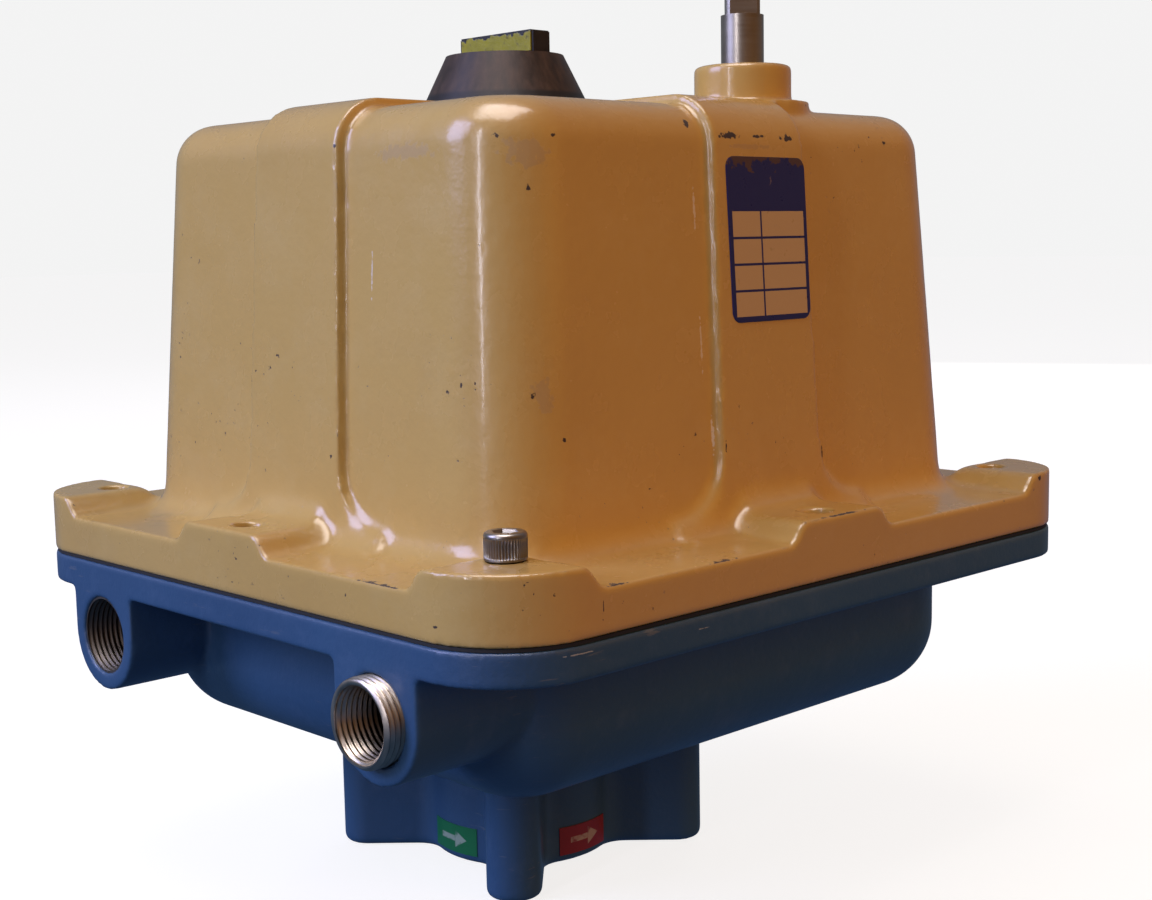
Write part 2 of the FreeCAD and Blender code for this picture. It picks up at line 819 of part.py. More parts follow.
def cover_outside():
    pads = pad_columns("pads")
    blocks = []
    for name, rise in (("recess", 0.0), ("proud", dim("band_rise"))):
        low = cover_block(name + "_low_block", rise, dim("web_top"))
        high = cover_block(name + "_high_block", rise, dim("pad_top"))
        blocks.append((low, common(name + "_pads", high, pads)))
    bands = fuse("bands", [
        band("band_across_x", "XZ_Plane", CENTRE[0], 400.0),
        band("band_across_y", "YZ_Plane", CENTRE[1], 400.0)])
    raised = common("raised_bands", fuse("proud_blocks", list(blocks[1])), bands)
    bosses = [
        cylinder("override_pad", dim("override_pad_radius"), 22.0,
                 (*OVERRIDE, dim("cover_top") + dim("band_rise") - 22)),
        turned_boss("override_boss", OVERRIDE, dim("override_boss_radius"),
            dim("override_boss_top"), 1.5),
        turned_boss("indicator_boss", (0.0, 0.0), 22.0, dim("indicator_bottom") - 0.8, 0.6),
    ]
    return fuse("cover_outside", [blocks[0][0], blocks[0][1], raised] + bosses)


def turned_boss(name, centre, radius, top, chamfer):
    """A round boss with a softened top edge, rooted inside the roof."""
    radius, top = as_size(radius), as_size(top)
    soft = chamfer * 0.3
    profile = [(0.0, 245.0), (radius, 245.0), (radius, top - chamfer)]
    profile += [(radius - soft, top - soft), (radius - chamfer, top), (0.0, top)]
    return moved(turned(name, profile), *centre)


def cover_cavity():
    """The space inside the cover, drafted like its outside."""
    body = new_body("cover_cavity")
    low_inset = dim("cover_inset_low") + dim("wall")
    outline = new_sketch(body, "cover_cavity_outline", "XY_Plane", COVER_BOTTOM - 1)
    rectangle(outline, CENTRE, HALF_X - low_inset, HALF_Y - low_inset)
    height = dim("cover_top") - dim("wall") - COVER_BOTTOM + 1
    feature = pad(body, outline, height, "cover_cavity_pad")
    run = dim("cover_inset_high") - dim("cover_inset_low")
    rise = dim("cover_top") - COVER_BOTTOM
    feature.setExpression("TaperAngle", f"-atan({run.text} / {rise.text})")
    doc.recompute()
    round_edges(body, dim("cover_corner") - dim("wall"), lambda edge: upright(edge, 60.0), "cavity_sides")
    return body


def cover_casting():
    shell = cut("cover_shell", cover_outside(), [cover_cavity()])
    inner_bosses = []
    for name, point in (("override", OVERRIDE), ("stem", (0.0, 0.0))):
        inner_bosses.append(cylinder(f"{name}_inner_boss", 14.5, 12.0, (*point, 244.0)))
    casting = fuse("cover_with_bosses", [shell] + inner_bosses)
    holes = []
    for index, point in enumerate(cover_screw_points()):
        holes.append(cylinder(
            f"cover_hole_{index}", dim("cover_hole_radius"), 30.0, (*point, COVER_BOTTOM - 2)))
    holes.append(cylinder("override_hole", dim("override_radius") + 0.3, 60.0, (*OVERRIDE, 230.0)))
    holes.append(cylinder("override_bush_seat", 10.0, 18.0, (*OVERRIDE, 243.0)))
    holes.append(cylinder("stem_hole", dim("stem_radius") + 0.3, 60.0, (0, 0, 230.0)))
    holes.append(cylinder("stem_bush_seat", 12.0, 14.0, (0, 0, 243.0)))
    return cut("cover_casting", casting, holes)


def cover_gasket():
    outside = rounded_block(
        "gasket_outside", CENTRE, HALF_X - 0.6, HALF_Y - 0.6, dim("flange_corner") - 0.6,
        dim("rim_top"), dim("gasket_thick"))
    inset = dim("pan_inset") + dim("wall") - 1
    inside = rounded_block(
        "gasket_inside", CENTRE, HALF_X - inset, HALF_Y - inset, dim("pan_corner") - dim("wall"),
        dim("rim_top") - 1, dim("gasket_thick") + 2)
    holes = [inside]
    for index, point in enumerate(cover_screw_points()):
        holes.append(cylinder(f"gasket_hole_{index}", 4.5, 4.0, (*point, dim("rim_top") - 1)))
    return cut("cover_gasket", outside, holes)


def socket_screw(name, point, seat, shank_radius, length, head_radius, head_height, across):
    """A socket-head cap screw standing on its seat, point down."""
    head = cylinder(name + "_head", head_radius, head_height, (*point, seat))
    shank = cylinder(name + "_shank", shank_radius, length, (*point, seat - length))
    socket = hexagon(name + "_socket", across, head_height, (*point, seat + head_height * 0.45))
    return cut(name, fuse(name + "_blank", [head, shank]), [socket])


def cover_screws():
    """Only two opposite corners carry screws; the other six holes stand open."""
    screws = []
    for index, point in enumerate(cover_screw_points()[:2]):
        screws.append(socket_screw(
            f"cover_screw_{index}", point, dim("pad_top"), dim("screw_radius"), dim("screw_length"),
            dim("screw_head_radius"), dim("screw_head_height"), dim("hex_key_across")))
    return group("cover_screws", screws)


def conduit_bushing():
    """A threaded reducing bushing, screwed almost home in the right-hand port."""
    length = dim("bushing_length") + dim("bushing_proud")
    x = CENTRE[0] + dim("port_spacing") / 2
    start = (x, FRONT - dim("bushing_proud"), dim("port_height"))
    outside = cylinder("bushing_outside", dim("port_bore_radius"), length, start, "y")
    inside = cylinder("bushing_inside", dim("bushing_bore_radius"), length + 2, start, "y")
    bind(inside, "Placement.Base.y", FRONT - dim("bushing_proud") - 1)
    return cut("conduit_bushing", outside, [inside])


def ground_screw():
    point = (CENTRE[0] + dim("port_spacing") / 2 - 40, -70.0)
    head = hexagon("ground_head", as_size(9.5), 4.0, (*point, PAN_FLOOR))
    shank = cylinder("ground_shank", 2.4, 4.0, (*point, PAN_FLOOR - 4))
    slot = centred_box("ground_slot", (12.0, 1.2, 2.0), *point, PAN_FLOOR + 2.6)
    return cut("ground_screw", fuse("ground_blank", [head, shank]), [slot])


def hub_label(name, middle_angle):
    """A thin tag wrapped round the hub."""
    width = 38.0
    start = middle_angle - width / 2
    outside = cylinder(
        name + "_outside", dim("hub_radius") + 0.3, 10.0, (0, 0, 3.0), "z", width, start)
    inside = cylinder(name + "_inside", dim("hub_radius"), 12.0, (0, 0, 2.0))
    return cut(name, outside, [inside])


def cover_label():
    """A thin plate on the drafted face of the raised band."""
    run = dim("cover_inset_high") - dim("cover_inset_low")
    rise = dim("cover_top") + dim("band_rise") - COVER_BOTTOM
    draft = math.degrees(math.atan2(run.value, rise.value))
    face = CENTRE[0] + HALF_X - dim("cover_inset_low") + dim("band_rise")
    face_at_middle = face - run / rise * (dim("label_middle") - COVER_BOTTOM)
    half_width, half_height = dim("label_width") / 2, dim("label_height") / 2
    plate = box("label_plate", (0.4, half_width * 2, half_height * 2), (0.0, -half_width, -half_height))
    carrier = group("label_carrier", [plate])
    carrier.Placement = Placement(Vector(0, 0, 0), Rotation(Vector(0, 1, 0), -draft))
    label = group("cover_label", [carrier])
    return place(label, (face_at_middle, CENTRE[1] + 2.5, dim("label_middle")))


# ---- Output shaft -------------------------------------------------------------------------------

def output_shaft():
    steps = [
        (dim("drive_radius"), PAN_FLOOR + 0.2),
        (dim("bush_radius"), PAN_FLOOR + 4),
        (dim("drive_radius"), dim("output_gear_bottom")),
        (dim("gear_seat_radius"), dim("output_gear_bottom") + dim("output_gear_width") + 4),
        (dim("journal_radius"), PLATE_TOP + 3),
        (dim("cam_seat_radius"), as_size(200.0)),
        (dim("stem_radius"), dim("indicator_top") - 5),
    ]
    blank = stepped_shaft("output_shaft_blank", steps, as_size(0.6))
    bore = cylinder("drive_bore", dim("drive_bore_radius"), dim("drive_bore_depth"), (0, 0, -0.4))
    key_size = (dim("drive_key_width"), dim("drive_bore_radius") + dim("drive_key_rise"),
        dim("drive_bore_depth"))
    keyway = box("drive_keyway", key_size, (-dim("drive_key_width") / 2, 0.0, -0.4))
    seat = box("gear_key_seat", (8.0, 4.0, dim("output_gear_width")),
               (-4.0, dim("gear_seat_radius") - 4, dim("output_gear_bottom")))
    tap = cylinder("indicator_tap", 2.5, 14.0, (0, 0, dim("indicator_top") - 18))
    return cut("output_shaft", blank, [bore, keyway, seat, tap])


def output_gear():
    bottom = dim("output_gear_bottom")
    width = dim("output_gear_width")
    blank = gear_blank("output_gear_blank", "output_teeth", "output_module", width, (0, 0, bottom))
    bore = cylinder("output_gear_bore", dim("gear_seat_radius"), width + 2, (0, 0, bottom - 1))
    keyway = box("output_gear_keyway", (8.0, 7.0, width + 2),
        (-4.0, dim("gear_seat_radius") - 4, bottom - 1))
    tools = [bore, keyway]
    for index in range(6):
        point = polar(as_size(38.0), 60.0 * index)
        tools.append(cylinder(f"lightening_{index}", 9.0, width + 2, (*point, bottom - 1)))
    return cut("output_gear", blank, tools)


def gear_key():
    return box("gear_key", (8.0, 7.0, dim("output_gear_width")),
               (-4.0, dim("gear_seat_radius") - 4, dim("output_gear_bottom")))


def snap_ring(name, inner, outer, thick, centre, bottom):
    """An open external retaining ring with two lugs."""
    x, y = centre
    body = ring(name + "_ring", outer, inner, thick, (x, y, bottom))
    gap = box(name + "_gap", (as_size(outer) + 2, 3.0, as_size(thick) + 2), (x, y - 1.5, bottom - 1))
    return cut(name, body, [gap])


def cam(name, bottom, lobe_angle):
    thick = dim("cam_thick")
    disc = cylinder(name + "_disc", dim("cam_radius"), thick, (0, 0, bottom))
    lobe = cylinder(name + "_lobe", dim("lobe_radius"), thick, (0, 0, bottom), "z", 50.0,
        lobe_angle - 25.0)
    hub = cylinder(name + "_hub", 16.5, thick + 5, (0, 0, bottom))
    bore = cylinder(name + "_bore", dim("cam_seat_radius"), thick + 8, (0, 0, bottom - 1))
    tap = cylinder(name + "_tap", 1.5, 10.0, (10.0, 0, bottom + thick + 2.5), "x")
    return cut(name, fuse(name + "_blank", [disc, lobe, hub]), [bore, tap])


def cam_screws():
    screws = []
    for name, bottom in (("closed", "closed_cam_bottom"), ("open", "open_cam_bottom")):
        height = dim(bottom) + dim("cam_thick") + 2.5
        body = cylinder(f"{name}_cam_screw_body", 1.5, 5.0, (dim("cam_seat_radius"), 0, height), "x")
        slot = box(f"{name}_cam_screw_slot", (1.0, 0.6, 4.0),
            (dim("cam_seat_radius") + 4.2, -0.3, height - 2))
        screws.append(cut(f"{name}_cam_screw", body, [slot]))
    return group("cam_screws", screws)


def indicator_cone():
    """A skirted cap with a raised rib across it that shows the valve's position."""
    low = dim("indicator_bottom")
    top = dim("indicator_top")
    skirt = cone("indicator_skirt", dim("indicator_low_radius"), dim("indicator_high_radius"),
                 top - low, (0, 0, low))
    rib = centred_box("indicator_rib", (dim("rib_length"), dim("rib_width"),
        dim("rib_height") + 2), 0.0, 0.0, top - 2)
    stem = cylinder("indicator_stem_hole", dim("stem_radius"), 30.0, (0, 0, top - 35))
    hollow = cone("indicator_hollow", dim("indicator_low_radius") - 3, dim("indicator_high_radius") - 2,
                  10.0, (0, 0, low - 1))
    boss = cylinder("indicator_socket", 13.0, 14.0, (0, 0, low + 1))
    screw_hole = cylinder("indicator_screw_hole", 2.7, 30.0, (0, 0, top - 20))
    head_hole = cylinder("indicator_head_hole", 4.2, 30.0, (0, 0, top + 2))
    shell = fuse("indicator_blank", [cut("indicator_shell", fuse("indicator_solid", [skirt, rib]),
        [hollow]), boss])
    return cut("indicator_cone", shell, [stem, screw_hole, head_hole])


def indicator_insert():
    """A coloured strip laid over the rib's top and its two long sides."""
    length = dim("insert_length")
    top = dim("indicator_top")
    skin = 0.5
    outside = centred_box(
        "insert_outside", (length, dim("rib_width") + 2 * skin, dim("rib_height") + skin - 0.4),
        0.0, 0.0, top + 0.4)
    inside = centred_box("insert_inside", (length + 4, dim("rib_width"), dim("rib_height") + 1),
        0.0, 0.0, top - 1)
    hole = cylinder("insert_hole", 4.2, 12.0, (0, 0, top))
    return cut("indicator_insert", outside, [inside, hole])


def indicator_screw():
    top = dim("indicator_top")
    head = cylinder("indicator_screw_head", 4.0, 3.4, (0, 0, top + 2))
    shank = cylinder("indicator_screw_shank", 2.5, 14.0, (0, 0, top - 12))
    slot = centred_box("indicator_screw_slot", (10.0, 1.2, 2.0), 0.0, 0.0, top + 4.4)
    return cut("indicator_screw", fuse("indicator_screw_blank", [head, shank]), [slot])


# ---- Gear train ---------------------------------------------------------------------------------

def gear_plate():
    bottom = dim("plate_bottom")
    body = rounded_block("gear_plate_blank", (as_size(7.5), as_size(21.0)), as_size(81.0), as_size(88.0),
                         as_size(10.0), bottom, dim("plate_thick"))
    holes = [cylinder("plate_output_hole", 19.0, 8.0, (0, 0, bottom - 2))]
    for name, point, radius in (("third", THIRD, 7.0), ("second", SECOND, 7.0),
        ("override", OVERRIDE, 9.0)):
        holes.append(cylinder(f"plate_{name}_hole", radius, 8.0, (*point, bottom - 2)))
    holes.append(cylinder("plate_motor_hole", 11.0, 8.0, (*MOTOR, bottom - 2)))
    for index, point in enumerate(STANDOFFS):
        holes.append(cylinder(f"plate_screw_hole_{index}", 2.5, 8.0, (*point, bottom - 2)))
    return cut("gear_plate", body, holes)


def plate_standoffs():
    posts = []
    low = PAN_FLOOR + 8
    for index, point in enumerate(STANDOFFS):
        post = cylinder(f"standoff_post_{index}", dim("standoff_radius"),
            dim("plate_bottom") - low, (*point, low))
        tap = cylinder(f"standoff_hole_{index}", 2.5, 12.0, (*point, dim("plate_bottom") - 11))
        stud = cylinder(f"standoff_stud_{index}", 2.5, 8.0, (*point, low - 7))
        posts.append(fuse(f"standoff_{index}", [cut(f"standoff_tube_{index}", post, [tap]), stud]))
    return group("plate_standoffs", posts)


def plate_screws():
    screws = [
        socket_screw(f"plate_screw_{index}", point, PLATE_TOP, as_size(2.5), as_size(12.0), 4.25,
            5.0, as_size(4.0))
        for index, point in enumerate(STANDOFFS)]
    return group("plate_screws", screws)


def arbor(name, point, top):
    """A plain steel arbor in the floor bush and the plate bush."""
    low = PAN_FLOOR + 2.3
    return cylinder(name, dim("arbor_radius"), top - low, (*point, low))


def flanged_bushes(name, point, inner, outer):
    """A bush in the floor boss and one in the gear plate."""
    gap = inner + GAP
    low = ring(name + "_low", outer, gap, 6.0, (*point, PAN_FLOOR + 2))
    high = ring(name + "_high", outer, gap, dim("plate_thick"), (*point, dim("plate_bottom")))
    return group(name, [low, high])


def override_bushes():
    """The two bushes below and a longer one in the cover's boss."""
    pair = flanged_bushes("override_pair", OVERRIDE, dim("override_radius"), dim("bush_outer") + 2)
    top = ring("override_cover_bush", 10.0, dim("override_radius") + GAP, 13.0, (*OVERRIDE, 243.0))
    return group("override_bushes", [pair, top])


def geared_arbor(name, point, teeth, module, bottom, width, phase):
    """An arbor with its pinion cut on it."""
    pinion = gear_blank(name + "_teeth", teeth, module, width, (*point, bottom), phase)
    return fuse(name, [pinion, arbor(name + "_shaft", point, PLATE_TOP - 0.3)])


def arbor_gear(name, point, teeth, module, bottom, width, phase):
    blank = gear_blank(name + "_blank", teeth, module, width, (*point, bottom), phase)
    hub = cylinder(name + "_hub", 7.5, as_size(width) + 1, (*point, bottom))
    bore = cylinder(name + "_bore", dim("arbor_radius"), as_size(width) + 8, (*point, bottom - 1))
    return cut(name, fuse(name + "_with_hub", [blank, hub]), [bore])


def override_shaft():
    low = PAN_FLOOR + 2.3
    round_part = cylinder(
        "override_round", dim("override_radius"), dim("override_square_bottom") - low, (*OVERRIDE, low))
    tip_height = dim("override_top") - dim("override_square_bottom") + 2
    tip = cylinder("override_tip", dim("override_radius"), tip_height,
        (*OVERRIDE, dim("override_square_bottom") - 2))
    square = turned_box(
        "override_square_bar", (dim("override_square"), dim("override_square"), tip_height),
        *OVERRIDE, dim("override_square_bottom") - 2, 45.0)
    blank = fuse("override_blank", [round_part, common("override_square_end", tip, square)])
    pin_hole = cylinder("override_pin_hole", 1.5, 30.0, (OVERRIDE[0] - 15, OVERRIDE[1], 92.0), "x")
    return cut("override_shaft", blank, [pin_hole])


def override_gear(phase):
    bottom = dim("output_gear_bottom") + 1
    blank = gear_blank("override_gear_blank", "override_teeth", "output_module", 12.0,
        (*OVERRIDE, bottom), phase)
    hub = cylinder("override_gear_hub", 12.0, 21.0, (*OVERRIDE, bottom))
    bore = cylinder("override_gear_bore", dim("override_radius"), 30.0, (*OVERRIDE, bottom - 1))
    pin_hole = cylinder("override_gear_pin_hole", 1.5, 30.0, (OVERRIDE[0] - 15, OVERRIDE[1], 92.0), "x")
    return cut("override_gear", fuse("override_gear_with_hub", [blank, hub]), [bore, pin_hole])


# ---- Motor --------------------------------------------------------------------------------------

def motor_housing():
    low = PLATE_TOP
    can = ring("motor_can", dim("motor_radius"), dim("motor_radius") - dim("motor_wall"),
        dim("motor_height"), (*MOTOR, low))
    foot = ring("motor_foot", dim("motor_radius"), 11.0, 4.0, (*MOTOR, low))
    seat = ring("motor_seat", 14.0, 11.0, 8.0, (*MOTOR, low + 2))
    return fuse("motor_housing", [can, foot, seat])


def motor_end_cap():
    bottom = PLATE_TOP + dim("motor_height")
    cap = cylinder("end_cap_disc", dim("motor_radius"), 5.0, (*MOTOR, bottom))
    spigot = cylinder("end_cap_spigot", dim("motor_radius") - dim("motor_wall"), 3.0,
        (*MOTOR, bottom - 3))
    crown = cylinder("end_cap_crown", 15.0, 9.0, (*MOTOR, bottom))
    seat = cylinder("end_cap_seat", 11.0, 9.0, (*MOTOR, bottom - 4))
    holes = [seat]
    for index in range(4):
        point = polar(as_size(26.0), 45.0 + 90.0 * index, MOTOR)
        holes.append(cylinder(f"end_cap_hole_{index}", 2.0, 12.0, (*point, bottom - 5)))
    return cut("motor_end_cap", fuse("end_cap_blank", [cap, spigot, crown]), holes)


def motor_stator():
    """A laminated ring with winding slots."""
    low = PLATE_TOP + 14
    outer = dim("motor_radius") - dim("motor_wall")
    stack = ring("stator_stack", outer, dim("stator_bore"), 46.0, (*MOTOR, low))
    slots = []
    for index in range(8):
        point = polar(as_size(23.5), 45.0 * index, MOTOR)
        slots.append(cylinder(f"stator_slot_{index}", 2.6, 50.0, (*point, low - 2)))
    return cut("motor_stator", stack, slots)


def motor_windings():
    """Coil sides that fill the stator's slots and stand proud of both ends."""
    coils = []
    for index in range(8):
        point = polar(as_size(23.5), 45.0 * index, MOTOR)
        coils.append(cylinder(f"coil_side_{index}", 2.6, 54.0, (*point, PLATE_TOP + 10)))
    return group("motor_windings", coils)


def motor_rotor():
    low = PLATE_TOP + 13
    rotor = cylinder("rotor_core", dim("rotor_radius"), 48.0, (*MOTOR, low))
    bore = cylinder("rotor_bore", dim("motor_shaft_radius"), 52.0, (*MOTOR, low - 2))
    return cut("motor_rotor", rotor, [bore])


def motor_shaft():
    bottom = dim("second_gear_bottom") - 1
    height = PLATE_TOP + dim("motor_height") + 2 - bottom
    return cylinder("motor_shaft", dim("motor_shaft_radius"), height, (*MOTOR, bottom))


def motor_bearings():
    rings = []
    for name, bottom in (("lower", PLATE_TOP + 2.5), ("upper", PLATE_TOP + dim("motor_height") - 4)):
        rings.append(ring(f"{name}_motor_bearing", 11.0, dim("motor_shaft_radius") + GAP, 6.0,
            (*MOTOR, bottom)))
    return group("motor_bearings", rings)


def motor_screws():
    screws = []
    bottom = PLATE_TOP + dim("motor_height") + 5
    for index in range(4):
        point = polar(as_size(26.0), 45.0 + 90.0 * index, MOTOR)
        screws.append(socket_screw(f"motor_screw_{index}", point, bottom, as_size(2.0),
            as_size(10.0), 3.5, 4.0, as_size(3.0)))
    return group("motor_screws", screws)


def motor_pinion(phase):
    bottom = dim("second_gear_bottom")
    blank = gear_blank("motor_pinion_blank", "motor_pinion_teeth", "second_module", 5.5,
        (*MOTOR, bottom), phase)
    bore = cylinder("motor_pinion_bore", dim("motor_shaft_radius"), 8.0, (*MOTOR, bottom - 1))
    return cut("motor_pinion", blank, [bore])


# ---- Electrical parts ---------------------------------------------------------------------------

CAPACITOR = (-34.0, 84.0)


def capacitor():
    body = cylinder("capacitor_can", 17.0, 62.0, (*CAPACITOR, PLATE_TOP))
    cap = cylinder("capacitor_top", 15.5, 3.0, (*CAPACITOR, PLATE_TOP + 62))
    tabs = [centred_box(f"capacitor_tab_{index}", (0.8, 6.3, 9.0), CAPACITOR[0] + x, CAPACITOR[1],
        PLATE_TOP + 64)
            for index, x in enumerate((-6.0, 6.0))]
    return fuse("capacitor", [body, cap] + tabs)


def capacitor_clamp():
    strap = ring("capacitor_strap", 18.5, 17.0, 12.0, (*CAPACITOR, PLATE_TOP + 22))
    foot = box("capacitor_clamp_foot", (10.0, 4.0, 34.0),
        (CAPACITOR[0] - 5.0, CAPACITOR[1] - 20.5, PLATE_TOP))
    clear = cylinder("capacitor_clamp_clear", 17.0, 60.0, (*CAPACITOR, PLATE_TOP - 5))
    return cut("capacitor_clamp", fuse("capacitor_clamp_blank", [strap, foot]), [clear])


def switch_bracket():
    """An upright angle plate that carries both limit switches."""
    back = dim("switch_face") - dim("switch_depth")
    upright_part = box("bracket_upright", (3.0, 34.0, 80.0), (back - 3.0, -19.0, PLATE_TOP))
    foot = box("bracket_foot", (22.0, 34.0, 3.0), (back - 22.0, -19.0, PLATE_TOP))
    shelves = []
    for name in ("closed_cam_bottom", "open_cam_bottom"):
        shelf_top = dim(name) + dim("cam_thick") / 2 - dim("switch_height") / 2
        shelves.append(box(f"bracket_shelf_{name}", (dim("switch_depth") - 2, 30.0, 2.0),
                           (back - 1.0, -17.0, shelf_top - 2)))
    return fuse("switch_bracket", [upright_part, foot] + shelves)


def limit_switch(name, cam_bottom):
    middle = dim(cam_bottom) + dim("cam_thick") / 2
    bottom = middle - dim("switch_height") / 2
    back = dim("switch_face") - dim("switch_depth")
    case = box(name + "_case", (dim("switch_depth"), dim("switch_length"), dim("switch_height")),
        (back, -16.0, bottom))
    ear = box(name + "_ear", (4.4, 3.4, 6.0), (dim("switch_face") - 1, dim("lever_pivot_y") - 1.7,
        middle - 3))
    pin_hole = cylinder(name + "_pin_hole", 0.8, 20.0, (dim("lever_pivot_x"), dim("lever_pivot_y"),
        middle - 10))
    pin = cylinder(name + "_pin", 0.8, 6.0, (dim("lever_pivot_x"), dim("lever_pivot_y"), middle - 3))
    fork_gap = box(name + "_fork_gap", (8.0, 8.0, 3.4),
        (dim("switch_face"), dim("lever_pivot_y") - 4, middle - 1.7))
    bore = cylinder(name + "_plunger_bore", 1.3, 6.0, (dim("switch_face") - 5, -6.0, middle), "x")
    holes = [cylinder(f"{name}_mount_hole_{index}", 1.6, 20.0, (back + 4.5, y, middle - 10))
             for index, y in enumerate((-11.0, 7.0))]
    body = cut(name + "_body", fuse(name + "_blank", [case, ear]), [fork_gap, bore, pin_hole] + holes)
    return fuse(name, [body, pin])


def switch_lever(name, cam_bottom):
    middle = dim(cam_bottom) + dim("cam_thick") / 2
    x = dim("lever_pivot_x")
    strip = box(name + "_strip", (0.8, 15.0, 3.0), (x - 0.4, dim("lever_pivot_y"), middle - 1.5))
    knuckle = cylinder(name + "_knuckle", 1.25, 3.0, (x, dim("lever_pivot_y"), middle - 1.5))
    roller_x = -dim("lobe_radius") - 0.3 - dim("roller_radius")
    roller = cylinder(name + "_roller", dim("roller_radius"), 3.0, (roller_x, 0.0, middle - 1.5))
    arm = box(name + "_arm", (3.0, 2.0, 3.0), (x - 0.4, -1.0, middle - 1.5))
    bore = cylinder(name + "_bore", 0.86, 6.0, (x, dim("lever_pivot_y"), middle - 3))
    return cut(name, fuse(name + "_blank", [strip, knuckle, roller, arm]), [bore])


def switch_plunger(name, cam_bottom):
    middle = dim(cam_bottom) + dim("cam_thick") / 2
    start = dim("switch_face") - 3
    tip = dim("lever_pivot_x") - 0.5
    return cylinder(name, 1.25, tip - start, (start, -6.0, middle), "x")


def switch_screws():
    back = dim("switch_face") - dim("switch_depth")
    screws = []
    for name in ("closed_cam_bottom", "open_cam_bottom"):
        middle = dim(name) + dim("cam_thick") / 2
        top = middle + dim("switch_height") / 2
        for index, y in enumerate((-11.0, 7.0)):
            screws.append(socket_screw(
                f"switch_screw_{name}_{index}", (back + 4.5, y), top, as_size(1.6), dim("switch_height"),
                2.75, 3.0, as_size(2.5)))
    return group("switch_screws", screws)


def terminal_block():
    """A moulded strip of eight terminals."""
    count = 8
    pitch = 9.5
    start = -28.0
    base = box("terminal_base", (count * pitch + 4, 22.0, 8.0), (start, -64.0, PLATE_TOP))
    walls = [box(f"terminal_wall_{index}", (2.0, 22.0, 16.0),
        (start + 1 + pitch * index, -64.0, PLATE_TOP))
             for index in range(count + 1)]
    taps = [cylinder(f"terminal_tap_{index}", 1.75, 6.0,
        (start + 6.7 + pitch * index, -53.0, PLATE_TOP + 3))
            for index in range(count)]
    return cut("terminal_block", fuse("terminal_blank", [base] + walls), taps)


def terminal_screws():
    screws = []
    for index in range(8):
        point = (as_size(-28.0 + 6.7 + 9.5 * index), as_size(-53.0))
        head = cylinder(f"terminal_head_{index}", 3.0, 2.4, (*point, PLATE_TOP + 8))
        shank = cylinder(f"terminal_shank_{index}", 1.75, 5.0, (*point, PLATE_TOP + 3))
        slot = centred_box(f"terminal_slot_{index}", (as_size(8.0), as_size(0.9), 1.2), *point,
            PLATE_TOP + 9.4)
        screws.append(cut(f"terminal_screw_{index}", fuse(f"terminal_screw_blank_{index}", [head,
            shank]), [slot]))
    return group("terminal_screws", screws)


# ---- Assembly -----------------------------------------------------------------------------------

def build_housing():
    return [
        base_casting(), cover_casting(), cover_gasket(), cover_screws(), conduit_bushing(), ground_screw(),
        hub_label("open_label", -90.0), hub_label("closed_label", 0.0), cover_label(),
    ]


def build_output():
    stem = dim("stem_radius")
    return [
        output_shaft(), output_gear(), gear_key(),
        ring("lower_bearing", dim("bush_radius"), dim("drive_radius") + GAP, PAN_FLOOR - 8, (0, 0, 8.0)),
        ring("output_seal", dim("bush_radius"), dim("drive_radius") + 0.1, 5.0, (0, 0, 2.0)),
        ring("upper_bearing", 19.0, dim("journal_radius") + GAP, dim("plate_thick") + 2,
            (0, 0, dim("plate_bottom"))),
        snap_ring("shaft_retaining_ring", dim("gear_seat_radius"), 21.0, 1.5, (0.0, 0.0),
                  dim("output_gear_bottom") + dim("output_gear_width")),
        ring("stem_bush", 12.0, stem + GAP, 9.0, (0, 0, 243.0)),
        torus("stem_seal", stem + 1.6, 1.4, (0, 0, 254.5)),
        cam("closed_cam", dim("closed_cam_bottom"), 180.0),
        cam("open_cam", dim("open_cam_bottom"), 90.0),
        cam_screws(), indicator_cone(), indicator_insert(), indicator_screw(),
    ]


